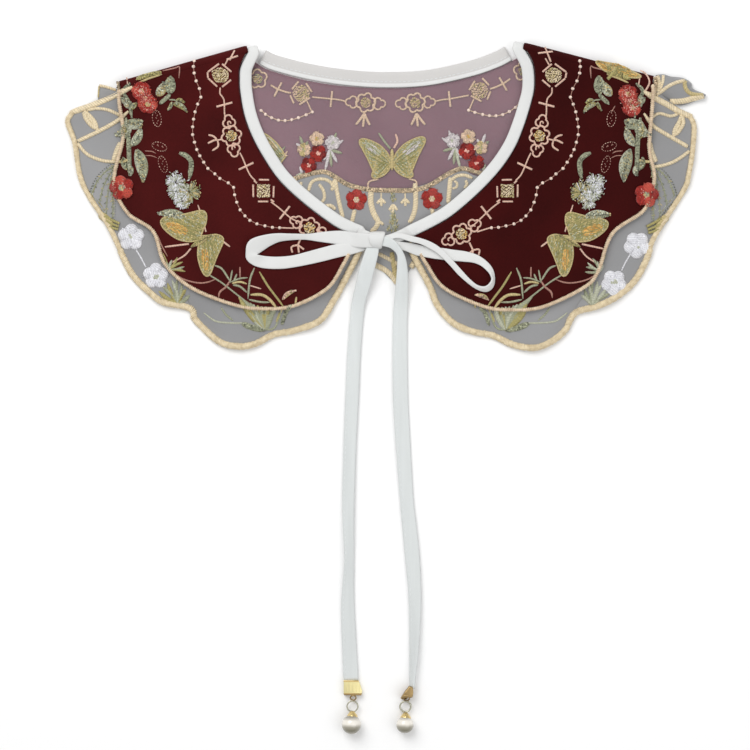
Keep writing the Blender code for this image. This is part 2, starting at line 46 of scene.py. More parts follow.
# plan tables are (across, down) in picture units of 0.6 mm
collar = {"unit": 0.6 * mm, "middleAcross": 385.8, "middleDown": 195.9, "foldDepth": 4.7 * mm}

leftSide = {
    "sign": 1,
    "neck": ((247.8, 50.4), (240.0, 67), (238.8, 80), (239.6, 93), (243.6, 115), (251.6, 137), (263.6, 159),
             (279, 181), (302.4, 203), (331.5, 225), (348, 233.8), (357, 237.6)),
    "border": ((119, 81), (119, 103), (122.5, 137), (113.3, 181.6), (126.7, 213.2), (152.6, 232), (164, 263.7),
               (190.6, 288.2), (233.5, 305.5), (264, 309.6), (294.7, 306.5), (328, 289), (344, 265), (351, 251)),
    "hem": ((69.5, 111), (64.5, 121.6), (72, 143.3), (76.6, 174), (85.5, 195.6), (107.2, 228.8), (121.2, 259.6),
            (131.4, 278), (147.8, 294.3), (162, 304.5), (188.6, 310.6), (192.7, 320.8), (217, 343.3),
            (237.6, 349), (256, 346.3), (274.3, 337), (294.7, 333), (321, 322.9), (335.5, 302.4),
            (349.8, 276), (361, 253.5), (364, 243)),
    "fold": ((250, 44), (119, 81)),
}
rightSide = {
    "sign": -1,
    "neck": ((523.5, 46), (532.4, 62), (535, 75), (534.8, 90), (531.6, 104), (524.8, 126), (515.6, 148),
             (501, 170), (480.6, 192), (455.4, 214), (437, 225.6), (412, 238)),
    "border": ((653.5, 76.3), (652.5, 107), (650, 149.3), (655, 178.7), (645, 210), (613, 234), (598.6, 271.8),
               (584.3, 288.2), (543.5, 307.6), (512.9, 310.6), (484.3, 307.6), (444, 289), (426, 265),
               (418, 251)),
    "hem": ((692.7, 114.5), (697, 125.4), (695.6, 149.3), (692, 173), (686.4, 191.4), (657.7, 236.3), (649.6, 259.6),
            (637.3, 282), (619, 298.4), (598.6, 308.6), (577, 315), (568, 331), (553.7, 343.3), (535.3, 350.4),
            (512.9, 347.3), (492.4, 338), (472, 334), (451.6, 324.9), (435.3, 306.5), (427, 286),
            (412, 258), (407, 244)),
    "fold": ((521, 41), (655, 76)),
}
backSide = {
    "neck": ((253, 60), (267, 69), (304, 79.5), (341, 85.5), (385, 88), (424, 86), (470, 77), (500, 66), (517, 58)),
    "border": ((124, 90), (140, 135), (190, 165), (245, 178), (291, 179.8), (329.9, 172.4), (348.4, 183.5),
               (392.8, 190), (433.4, 181.7), (459.3, 168.7), (477.8, 176), (530, 180), (590, 165),
               (635, 130), (649, 88)),
    "hem": ((100, 84), (97, 104), (95, 150), (106, 205), (140, 262), (190, 285), (240, 306), (290, 300), (335, 272),
            (361, 247), (373, 260), (398, 284), (411, 268), (424, 252), (440, 280), (490, 304),
            (540, 306), (600, 275), (648, 215), (680, 160), (678, 125), (655, 92)),
    "binding": ((262.5, 56.7), (276, 62.7), (308, 70.9), (345, 76.9), (385, 79.4), (427, 77.4), (470, 68.3),
                (495, 59.8), (508.5, 53)),
}


# shaders
def nodeIn(tree, kind, **values):
    made = tree.nodes.new(kind)
    for key, value in values.items():
        if key in made.inputs:
            made.inputs[key].default_value = value
        else:
            setattr(made, key, value)
    return made


def newGroup(name, inputs, outputs):
    tree = bpy.data.node_groups.new(name, "ShaderNodeTree")
    for label, kind, value in inputs:
        socket = tree.interface.new_socket(name=label, in_out="INPUT", socket_type=kind)
        if value is not None:
            socket.default_value = value
    for label, kind in outputs:
        tree.interface.new_socket(name=label, in_out="OUTPUT", socket_type=kind)
    return tree, tree.nodes.new("NodeGroupInput"), tree.nodes.new("NodeGroupOutput")


def makeWeaveGroup():
    # over-and-under yarns on the piece's own UV, in millimetres
    tree, entry, out = newGroup("plainWeave", (("Yarns per mm", "NodeSocketFloat", 2.0), ("Warp share", "NodeSocketFloat", 1.0)),
                                (("Height", "NodeSocketFloat"), ("Mask", "NodeSocketFloat")))
    link = tree.links.new
    uv = nodeIn(tree, "ShaderNodeUVMap")
    split = nodeIn(tree, "ShaderNodeSeparateXYZ")
    link(uv.outputs[0], split.inputs[0])
    waves = []
    for axis in (0, 1):
        scaled = nodeIn(tree, "ShaderNodeMath", operation="MULTIPLY")
        link(split.outputs[axis], scaled.inputs[0])
        link(entry.outputs["Yarns per mm"], scaled.inputs[1])
        turned = nodeIn(tree, "ShaderNodeMath", operation="MULTIPLY")
        turned.inputs[1].default_value = 2 * math.pi
        link(scaled.outputs[0], turned.inputs[0])
        wave = nodeIn(tree, "ShaderNodeMath", operation="SINE")
        link(turned.outputs[0], wave.inputs[0])
        size = nodeIn(tree, "ShaderNodeMath", operation="ABSOLUTE")
        link(wave.outputs[0], size.inputs[0])
        waves.append(size)
    warp = nodeIn(tree, "ShaderNodeMath", operation="MULTIPLY")
    link(waves[0].outputs[0], warp.inputs[0])
    link(entry.outputs["Warp share"], warp.inputs[1])
    most = nodeIn(tree, "ShaderNodeMath", operation="MAXIMUM")
    link(warp.outputs[0], most.inputs[0])
    link(waves[1].outputs[0], most.inputs[1])
    link(most.outputs[0], out.inputs["Height"])
    both = nodeIn(tree, "ShaderNodeMath", operation="MULTIPLY")
    link(waves[0].outputs[0], both.inputs[0])
    link(waves[1].outputs[0], both.inputs[1])
    link(both.outputs[0], out.inputs["Mask"])
    return tree


def makeThreadGroup():
    # side-by-side threads: UV x counts across them in millimetres, UV y runs along them
    tree, entry, out = newGroup("threadLay", (("Threads per mm", "NodeSocketFloat", 2.6), ("Unevenness", "NodeSocketFloat", 0.35)),
                                (("Height", "NodeSocketFloat"), ("Shade", "NodeSocketFloat")))
    link = tree.links.new
    uv = nodeIn(tree, "ShaderNodeUVMap")
    split = nodeIn(tree, "ShaderNodeSeparateXYZ")
    link(uv.outputs[0], split.inputs[0])
    drift = nodeIn(tree, "ShaderNodeTexNoise", noise_dimensions="2D", Scale=0.9, Detail=2.0)
    link(uv.outputs[0], drift.inputs["Vector"])
    pull = nodeIn(tree, "ShaderNodeMath", operation="MULTIPLY")
    link(drift.outputs[0], pull.inputs[0])
    link(entry.outputs["Unevenness"], pull.inputs[1])
    moved = nodeIn(tree, "ShaderNodeMath", operation="ADD")
    link(split.outputs[0], moved.inputs[0])
    link(pull.outputs[0], moved.inputs[1])
    count = nodeIn(tree, "ShaderNodeMath", operation="MULTIPLY")
    link(moved.outputs[0], count.inputs[0])
    link(entry.outputs["Threads per mm"], count.inputs[1])
    turned = nodeIn(tree, "ShaderNodeMath", operation="MULTIPLY")
    turned.inputs[1].default_value = math.pi
    link(count.outputs[0], turned.inputs[0])
    wave = nodeIn(tree, "ShaderNodeMath", operation="SINE")
    link(turned.outputs[0], wave.inputs[0])
    size = nodeIn(tree, "ShaderNodeMath", operation="ABSOLUTE")
    link(wave.outputs[0], size.inputs[0])
    link(size.outputs[0], out.inputs["Height"])
    whole = nodeIn(tree, "ShaderNodeMath", operation="FLOOR")
    link(count.outputs[0], whole.inputs[0])
    each = nodeIn(tree, "ShaderNodeTexWhiteNoise", noise_dimensions="1D")
    link(whole.outputs[0], each.inputs["W"])
    link(each.outputs[0], out.inputs["Shade"])
    return tree


weaveGroup = makeWeaveGroup()
threadGroup = makeThreadGroup()


def newMaterial(name, colour, roughness, **fixed):
    made = bpy.data.materials.new(name)
    made.use_nodes = True
    tree = made.node_tree
    shader = tree.nodes["Principled BSDF"]
    shader.inputs["Base Color"].default_value = (*colour, 1)
    shader.inputs["Roughness"].default_value = roughness
    for key, value in fixed.items():
        shader.inputs[key.replace("_", " ")].default_value = value
    return made, tree, shader


def bumped(tree, shader, height, strength, distance, under=None):
    bump = nodeIn(tree, "ShaderNodeBump")
    bump.inputs["Strength"].default_value = strength
    bump.inputs["Distance"].default_value = distance
    tree.links.new(height, bump.inputs["Height"])
    if under:
        tree.links.new(under, bump.inputs["Normal"])
    tree.links.new(bump.outputs[0], shader.inputs["Normal"])
    return bump.outputs[0]


def shaded(tree, factor, dark, light):
    # a colour between two, by a factor
    ramp = nodeIn(tree, "ShaderNodeMix", data_type="RGBA")
    ramp.inputs[6].default_value = (*dark, 1)
    ramp.inputs[7].default_value = (*light, 1)
    tree.links.new(factor, ramp.inputs[0])
    return ramp.outputs[2]


def noiseOf(tree, scale, detail=3.0, coordinates="Object", stretch=(1, 1, 1)):
    place = nodeIn(tree, "ShaderNodeTexCoord")
    mapping = nodeIn(tree, "ShaderNodeMapping")
    mapping.inputs["Scale"].default_value = stretch
    tree.links.new(place.outputs[coordinates], mapping.inputs[0])
    noise = nodeIn(tree, "ShaderNodeTexNoise", Scale=scale, Detail=detail)
    tree.links.new(mapping.outputs[0], noise.inputs["Vector"])
    return noise.outputs[0]


def velvetMaterial(name, dark, light, sheen, sheenTint):
    made, tree, shader = newMaterial(name, light, 0.95, Sheen_Weight=sheen, Sheen_Roughness=0.42,
                                     Sheen_Tint=(*sheenTint, 1), Specular_IOR_Level=0.12)
    broad = noiseOf(tree, 26, 3.0)
    fine = noiseOf(tree, 900, 2.0)
    mixed = nodeIn(tree, "ShaderNodeMath", operation="MULTIPLY_ADD")
    mixed.inputs[1].default_value = 0.35
    tree.links.new(fine, mixed.inputs[0])
    tree.links.new(broad, mixed.inputs[2])
    span = nodeIn(tree, "ShaderNodeMapRange")
    span.inputs["From Min"].default_value = 0.35
    span.inputs["From Max"].default_value = 1.0
    tree.links.new(mixed.outputs[0], span.inputs[0])
    tree.links.new(shaded(tree, span.outputs[0], dark, light), shader.inputs["Base Color"])
    bumped(tree, shader, fine, 0.5, 0.25 * mm)
    return made


def organzaMaterial(name, colour, alpha):
    made, tree, shader = newMaterial(name, colour, 0.42, Specular_IOR_Level=0.35, Sheen_Weight=0.25, Sheen_Roughness=0.4)
    weave = nodeIn(tree, "ShaderNodeGroup")
    weave.node_tree = weaveGroup
    weave.inputs["Yarns per mm"].default_value = 1.1
    weave.inputs["Warp share"].default_value = 0.9
    broad = noiseOf(tree, 14, 2.0)
    light = tuple(c * 1.3 for c in colour)
    dark = tuple(c * 0.78 for c in colour)
    tree.links.new(shaded(tree, broad, dark, light), shader.inputs["Base Color"])
    veil = nodeIn(tree, "ShaderNodeMapRange")
    veil.inputs["To Min"].default_value = alpha - 0.07
    veil.inputs["To Max"].default_value = min(alpha + 0.07, 1)
    tree.links.new(weave.outputs["Height"], veil.inputs[0])
    tree.links.new(veil.outputs[0], shader.inputs["Alpha"])
    bumped(tree, shader, weave.outputs["Height"], 0.35, 0.12 * mm)
    return made


def tapeMaterial(name, colour, bands=0.9, stretch=(1, 1, 1), scale=60):
    made, tree, shader = newMaterial(name, colour, 0.78, Specular_IOR_Level=0.3, Sheen_Weight=0.2, Sheen_Roughness=0.5)
    weave = nodeIn(tree, "ShaderNodeGroup")
    weave.node_tree = weaveGroup
    weave.inputs["Yarns per mm"].default_value = 1.6
    broad = noiseOf(tree, scale, 3.0, stretch=stretch)
    dark = tuple(c * bands for c in colour)
    tree.links.new(shaded(tree, broad, dark, colour), shader.inputs["Base Color"])
    bumped(tree, shader, weave.outputs["Height"], 0.45, 0.14 * mm)
    return made


def threadMaterial(name, gloss=0.42, perMm=2.6, contrast=0.72):
    # the thread's dye is the point colour "dye"; each thread lies a little lighter or darker at random, and the crest
    # of each thread and of each broad band along a strip is painted lighter, their grooves darker: painted highlight
    # and painted shade
    made, tree, shader = newMaterial(name, (1, 1, 1), gloss, Specular_IOR_Level=0.45, Sheen_Weight=0.15,
                                     Sheen_Roughness=0.3)
    lay = nodeIn(tree, "ShaderNodeGroup")
    lay.node_tree = threadGroup
    lay.inputs["Threads per mm"].default_value = perMm
    dye = nodeIn(tree, "ShaderNodeVertexColor")
    dye.layer_name = "dye"
    shade = nodeIn(tree, "ShaderNodeMath", operation="MULTIPLY_ADD")
    shade.inputs[1].default_value = 0.22
    shade.inputs[2].default_value = contrast - 0.2
    tree.links.new(lay.outputs["Shade"], shade.inputs[0])
    # broad bands along a strip: painted highlight on each band, painted shade between bands
    bands = nodeIn(tree, "ShaderNodeGroup")
    bands.node_tree = threadGroup
    bands.inputs["Threads per mm"].default_value = 0.66
    bands.inputs["Unevenness"].default_value = 1.4
    toneWithPaintedBandShade = nodeIn(tree, "ShaderNodeMath", operation="MULTIPLY_ADD")
    toneWithPaintedBandShade.inputs[1].default_value = 0.34
    tree.links.new(bands.outputs["Height"], toneWithPaintedBandShade.inputs[0])
    tree.links.new(shade.outputs[0], toneWithPaintedBandShade.inputs[2])
    shade = toneWithPaintedBandShade
    # each thread's crest lighter and its sides darker: painted highlight and painted shade
    lift = nodeIn(tree, "ShaderNodeMath", operation="MULTIPLY_ADD")
    lift.inputs[1].default_value = 0.26
    tree.links.new(lay.outputs["Height"], lift.inputs[0])
    tree.links.new(shade.outputs[0], lift.inputs[2])
    tint = nodeIn(tree, "ShaderNodeVectorMath", operation="SCALE")
    tree.links.new(dye.outputs["Color"], tint.inputs[0])
    tree.links.new(lift.outputs[0], tint.inputs["Scale"])
    tree.links.new(tint.outputs[0], shader.inputs["Base Color"])
    bumped(tree, shader, lay.outputs["Height"], 0.8, 0.22 * mm)
    return made


def metalMaterial(name, colour, roughness):
    made, tree, shader = newMaterial(name, colour, roughness, Metallic=1.0)
    grain = noiseOf(tree, 700, 3.0, stretch=(1, 0.2, 1))
    span = nodeIn(tree, "ShaderNodeMapRange")
    span.inputs["To Min"].default_value = roughness * 0.75
    span.inputs["To Max"].default_value = roughness * 1.6
    tree.links.new(grain, span.inputs[0])
    tree.links.new(span.outputs[0], shader.inputs["Roughness"])
    bumped(tree, shader, grain, 0.2, 0.05 * mm)
    return made


def pearlPaintedReflectionMaterial(name, middle, radius):
    # painted reflection and shade down the line of the tie: a dark band below, a painted silver highlight above and
    # grey again at the top
    made, tree, shader = newMaterial(name, (0.62, 0.56, 0.49), 0.3, Coat_Weight=0.6, Coat_Roughness=0.16,
                                     Specular_IOR_Level=0.5)
    spot = nodeIn(tree, "ShaderNodeTexCoord").outputs["Object"]
    split = nodeIn(tree, "ShaderNodeSeparateXYZ")
    tree.links.new(spot, split.inputs[0])
    span = nodeIn(tree, "ShaderNodeMapRange")
    span.inputs["From Min"].default_value = middle - radius
    span.inputs["From Max"].default_value = middle + radius
    tree.links.new(split.outputs["Y"], span.inputs[0])
    # painted shade and painted highlight bands, set by height on the pearl
    bands = nodeIn(tree, "ShaderNodeValToRGB")
    rows = ((0.0, (0.34, 0.31, 0.25)), (0.22, (0.20, 0.185, 0.13)), (0.42, (0.36, 0.335, 0.27)), (0.58, (0.86, 0.82, 0.74)),
            (0.74, (0.84, 0.80, 0.73)), (0.93, (0.30, 0.28, 0.235)))
    while len(bands.color_ramp.elements) < len(rows):
        bands.color_ramp.elements.new(0.5)
    for stop, (share, colour) in zip(bands.color_ramp.elements, rows):
        stop.position, stop.color = share, (*colour, 1)
    tree.links.new(span.outputs[0], bands.inputs[0])
    tree.links.new(bands.outputs[0], shader.inputs["Base Color"])
    return made


velvet = velvetMaterial("wineVelvet", (0.034, 0.0030, 0.0030), (0.070, 0.0058, 0.0056), 0.17, (0.60, 0.09, 0.09))
# the right front's velvet: a darker copy of the same velvet with less sheen, painted shade
velvetPaintedShadeRight = velvetMaterial("wineVelvetPaintedShadeRight", (0.022, 0.0014, 0.0013), (0.048, 0.0028, 0.0026), 0.11, (0.55, 0.06, 0.06))
velvetWrong = velvetMaterial("velvetWrongSide", (0.23, 0.072, 0.10), (0.33, 0.112, 0.14), 0.1, (0.8, 0.6, 0.7))
organza = organzaMaterial("greyOrganza", (0.285, 0.285, 0.29), 0.84)
organzaOver = organzaMaterial("organzaOverVelvet", (0.30, 0.25, 0.28), 0.22)
tape = tapeMaterial("whiteTape", (0.735, 0.74, 0.73))
# a darker copy of the white tape for the tape at the back of the neck: painted shade
paintedShadeBackTape = tapeMaterial("shadedTape", (0.62, 0.605, 0.59))
tieTape = tapeMaterial("tieTape", (0.73, 0.76, 0.755), 0.8, (1, 0.07, 1), 210)
satin = threadMaterial("satinThread")
cordThread = threadMaterial("cordThread", gloss=0.5, perMm=1.9)
gold = metalMaterial("goldMetal", (0.78, 0.60, 0.27), 0.26)
paleGold = metalMaterial("paleGold", (0.90, 0.80, 0.42), 0.34)
darkGold = metalMaterial("darkGold", (0.40, 0.28, 0.13), 0.34)
silver = metalMaterial("agedSilver", (0.50, 0.49, 0.40), 0.3)
pearl = pearlPaintedReflectionMaterial("pearl", -317.2 * mm, 5.6 * mm)
print("materials made")


# plan curves
def place(across, down):
    return (across - collar["middleAcross"]) * collar["unit"], (collar["middleDown"] - down) * collar["unit"]


def resample(points, count):
    points = np.asarray(points, float)
    steps = np.linalg.norm(np.diff(points[:, :2], axis=0), axis=1) + 1e-9
    along = np.concatenate([[0], np.cumsum(steps)])
    wanted = np.linspace(0, along[-1], count)
    return np.stack([np.interp(wanted, along, points[:, k]) for k in range(points.shape[1])], axis=1)


def smooth(points, count):
    points = np.asarray(points, float)
    ends = np.vstack([2 * points[0] - points[1], points, 2 * points[-1] - points[-2]])
    s = np.linspace(0, 1, 16, endpoint=False)[:, None]
    fine = [0.5 * (2 * b + (c - a) * s + (2 * a - 5 * b + 4 * c - d) * s * s + (3 * b - a - 3 * c + d) * s ** 3)
            for a, b, c, d in zip(ends, ends[1:], ends[2:], ends[3:])]
    return resample(np.vstack(fine + [points[-1:]]), count)


def plan(table, count):
    return smooth([(*place(row[0], row[1]), *row[2:]) for row in table], count)


def beside(path, distance):
    along = np.gradient(path[:, :2], axis=0)
    along /= np.linalg.norm(along, axis=1)[:, None] + 1e-12
    return path[:, :2] + distance * np.stack([-along[:, 1], along[:, 0]], axis=1)


def foldOf(side):
    inner, outer = np.array(place(*side["fold"][0])), np.array(place(*side["fold"][1]))
    run = (outer - inner) / np.linalg.norm(outer - inner)
    normal = np.array([-run[1], run[0]])
    return inner, normal if normal[1] > 0 else -normal


def started(points, side, depth):
    inner, normal = foldOf(side)
    short = np.maximum(depth - (inner - points) @ normal, 0)
    return points - short[:, None] * normal


# heights of the layers
def treeOf(piece):
    mesh = piece.data
    return BVHTree.FromPolygons([piece.matrix_world @ v.co for v in mesh.vertices], [p.vertices for p in mesh.polygons])


cadTrees = {name: treeOf(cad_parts[name]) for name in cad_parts}


def castOn(tree, x, y):
    hit = tree.ray_cast((x, y, 0.1), (0, 0, -1))[0]
    return None if hit is None else hit.z


def topOf(names, x, y, missing=0.0):
    heights = [castOn(cadTrees[name], x, y) for name in names]
    heights = [h for h in heights if h is not None]
    return max(heights) if heights else missing


def nearTop(name, x, y):
    # the node's top at a point, or at the nearest point of it just outside its edge
    height = castOn(cadTrees[name], x, y)
    if height is not None:
        return height
    for reach in (1.0, 2.5, 5.0, 9.0):
        around = [castOn(cadTrees[name], x + reach * mm * math.cos(a), y + reach * mm * math.sin(a))
                  for a in np.arange(8) * math.pi / 4]
        around = [h for h in around if h is not None]
        if around:
            return sum(around) / len(around)
    return 1.0 * mm


# mesh helpers
def newPiece(name, verts, faces, material, uvs=None, dyes=None, smoothShade=True):
    mesh = bpy.data.meshes.new(name)
    mesh.from_pydata([tuple(v) for v in verts], [], [tuple(f) for f in faces])
    mesh.materials.append(material)
    if uvs is not None:
        corner = np.empty(len(mesh.loops), dtype=np.int32)
        mesh.loops.foreach_get("vertex_index", corner)
        layer = mesh.uv_layers.new(name="UVMap")
        layer.data.foreach_set("uv", np.asarray(uvs, np.float32)[corner].ravel())
    if dyes is not None:
        layer = mesh.color_attributes.new(name="dye", type="FLOAT_COLOR", domain="POINT")
        layer.data.foreach_set("color", np.column_stack([np.asarray(dyes, np.float32),
                                                          np.ones(len(dyes), np.float32)]).ravel())
    mesh.polygons.foreach_set("use_smooth", [smoothShade] * len(mesh.polygons))
    mesh.update()
    made = bpy.data.objects.new(name, mesh)
    scene.collection.objects.link(made)
    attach(made, "root")
    return made


def clothSheet(name, grid, thickness, material, replaced):
    # a grid of points given a thin wall; UV in millimetres along and across
    grid = np.asarray(grid, float)
    rows, columns = grid.shape[:2]
    across = np.zeros((rows, columns))
    along = np.zeros((rows, columns))
    across[1:] = np.cumsum(np.linalg.norm(np.diff(grid, axis=0), axis=2), axis=0)
    along[:, 1:] = np.cumsum(np.linalg.norm(np.diff(grid, axis=1), axis=2), axis=1)
    uvs = np.stack([along, across], axis=2).reshape(-1, 2) / mm
    index = np.arange(rows * columns).reshape(rows, columns)
    faces = np.stack([index[:-1, :-1], index[:-1, 1:], index[1:, 1:], index[1:, :-1]], axis=2).reshape(-1, 4)
    made = newPiece(name, grid.reshape(-1, 3), faces, material, uvs)
    wall = made.modifiers.new("wall", "SOLIDIFY")
    wall.thickness = thickness
    wall.offset = 0
    if replaced:
        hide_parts(*replaced)
    return made


# soft creases: one entry is (across, down) start and end, depth in mm, half width in units
creases = {
    "left": (((232, 95), (150, 130), 0.55, 9), ((205, 175), (140, 215), -0.5, 10), ((262, 225), (225, 290), 0.5, 9),
             ((180, 100), (205, 160), -0.4, 12)),
    "right": (((540, 100), (620, 140), 0.55, 10), ((575, 160), (630, 205), -0.5, 9), ((505, 225), (545, 290), 0.5, 9),
              ((590, 105), (560, 170), -0.4, 12)),
}


def creaseLift(x, y, rows):
    lift = 0.0
    for (a, b, depth, half) in rows:
        ax, ay = place(*a)
        bx, by = place(*b)
        run = max(0, min(1, ((x - ax) * (bx - ax) + (y - ay) * (by - ay)) / ((bx - ax) ** 2 + (by - ay) ** 2)))
        gap = math.hypot(x - ax - run * (bx - ax), y - ay - run * (by - ay)) / (half * collar["unit"])
        ends = math.sin(math.pi * min(max(run, 0.04), 0.96)) ** 0.5
        lift += depth * mm * math.exp(-gap * gap) * ends
    return lift


def frontCloth(word, side):
    name = word.lower()
    sign, depth = side["sign"], collar["foldDepth"]
    columns = 170
    neck = started(plan(side["neck"], columns), side, depth)
    border = started(plan(side["border"], columns), side, depth)
    hem = beside(plan(side["hem"], columns), sign * 2.6 * mm)
    node = f"velvet_front_{name}"
    grid = []
    inner, normal = foldOf(side)
    for share in np.linspace(0, 1, 46):
        row = [(x, y, nearTop(node, x, y) - 0.5 * mm + creaseLift(x, y, creases[name]) * 0.5)
               for x, y in neck * (1 - share) + border * share]
        x, y, z = row[0]
        radius = (z - 0.5 * mm) / 2
        turn = [(x + normal[0] * radius * math.sin(a) * 0.95, y + normal[1] * radius * math.sin(a) * 0.95,
                 0.5 * mm + radius * (1 + math.cos(a))) for a in np.linspace(math.pi, 0, 13)[:-1]]
        grid.append(turn + row)
    grid = np.array(grid)
    for _ in range(4):
        grid[1:-1, 13:-1, 2] = (grid[:-2, 13:-1, 2] + grid[2:, 13:-1, 2] + grid[1:-1, 12:-2, 2] + grid[1:-1, 14:, 2]) / 4
    # the right front takes the darker velvet copy, painted shade
    made = clothSheet(f"velvetFront{word}", grid, 0.9 * mm, velvet if word == "Left" else velvetPaintedShadeRight, [node])

    # the organza: under the velvet's edge and out to the hem
    node = f"organza_front_{name}"
    groundBorder = started(border, side, depth + 1.8 * mm)
    groundNeck = started(neck, side, depth + 1.8 * mm)
    grid = []
    for share in np.linspace(0.0, 1, 7):
        grid.append([(x, y, nearTop(node, x, y) - 0.5 * mm) for x, y in groundNeck * (1 - share) + groundBorder * share])
    for share in np.linspace(0, 1, 20)[1:]:
        grid.append([(x, y, nearTop(node, x, y) - 0.5 * mm) for x, y in groundBorder * (1 - share) + hem * share])
    grid = np.array(grid)
    for _ in range(5):
        grid[8:-1, 1:-1, 2] = (grid[7:-2, 1:-1, 2] + grid[9:, 1:-1, 2] + grid[8:-1, :-2, 2] + grid[8:-1, 2:, 2]) / 4
    made = clothSheet(f"organzaFront{word}", grid, 0.35 * mm, organza, [node])
    return grid[-1]


def backCloth():
    columns = 150
    curves = {}
    for key in ("neck", "border", "hem"):
        points = plan(backSide[key], columns)
        if key != "hem":
            points = started(started(points, leftSide, collar["foldDepth"] + 0.5 * mm), rightSide,
                             collar["foldDepth"] + 0.5 * mm)
        curves[key] = points
    grid = [[(x, y, 0.5 * mm) for x, y in curves["neck"] * (1 - s) + curves["border"] * s] for s in np.linspace(0, 1, 30)]
    made = clothSheet("velvetBack", grid, 0.9 * mm, velvetWrong, ["velvet_back"])
    for key in ("neck", "border"):
        curves[key] = started(started(curves[key], leftSide, collar["foldDepth"] + 1.8 * mm), rightSide,
                              collar["foldDepth"] + 1.8 * mm)
    grid = []
    for share in np.linspace(0, 1, 24):
        points = curves["neck"] * (1 - share) + curves["border"] * share
        grid.append([(x, y, nearTop("organza_back", x, y) - 0.5 * mm + 0.12 * mm * math.sin(x * 210 + y * 90)
                      * math.sin(y * 160)) for x, y in points])
    for share in np.linspace(0, 1, 22)[1:]:
        points = curves["border"] * (1 - share) + curves["hem"] * share
        grid.append([(x, y, nearTop("organza_back", x, y) - 0.5 * mm) for x, y in points])
    grid = np.array(grid)
    made = clothSheet("organzaBack", grid, 0.35 * mm, organza, ["organza_back"])
    made.data.materials.append(organzaOver)
    for face in made.data.polygons:
        face.material_index = 1 if face.index < 23 * (columns - 1) else 0


hemRows = {"left": frontCloth("Left", leftSide), "right": frontCloth("Right", rightSide)}
backCloth()
print("cloth laid")


# Geometry Nodes: trees that wrap, dot and stitch along a path
def geometryTree(name, inputs):
    tree = bpy.data.node_groups.new(name, "GeometryNodeTree")
    tree.interface.new_socket(name="Path", in_out="INPUT", socket_type="NodeSocketGeometry")
    for label, kind, value in inputs:
        socket = tree.interface.new_socket(name=label, in_out="INPUT", socket_type=kind)
        if value is not None:
            socket.default_value = value
    tree.interface.new_socket(name="Geometry", in_out="OUTPUT", socket_type="NodeSocketGeometry")
    return tree, tree.nodes.new("NodeGroupInput"), tree.nodes.new("NodeGroupOutput")


def alignedToPath(tree, lean=0.0):
    # local Z along the path, local Y up
    link = tree.links.new
    tangent = tree.nodes.new("GeometryNodeInputTangent")
    first = nodeIn(tree, "FunctionNodeAlignRotationToVector", axis="Z")
    link(tangent.outputs[0], first.inputs["Vector"])
    second = nodeIn(tree, "FunctionNodeAlignRotationToVector", axis="Y", pivot_axis="Z")
    second.inputs["Vector"].default_value = (0, 0, 1)
    link(first.outputs[0], second.inputs["Rotation"])
    turn = nodeIn(tree, "FunctionNodeRotateRotation", rotation_space="LOCAL")
    turn.inputs[1].default_value = (0, lean, 0)
    link(second.outputs[0], turn.inputs[0])
    return turn.outputs[0]


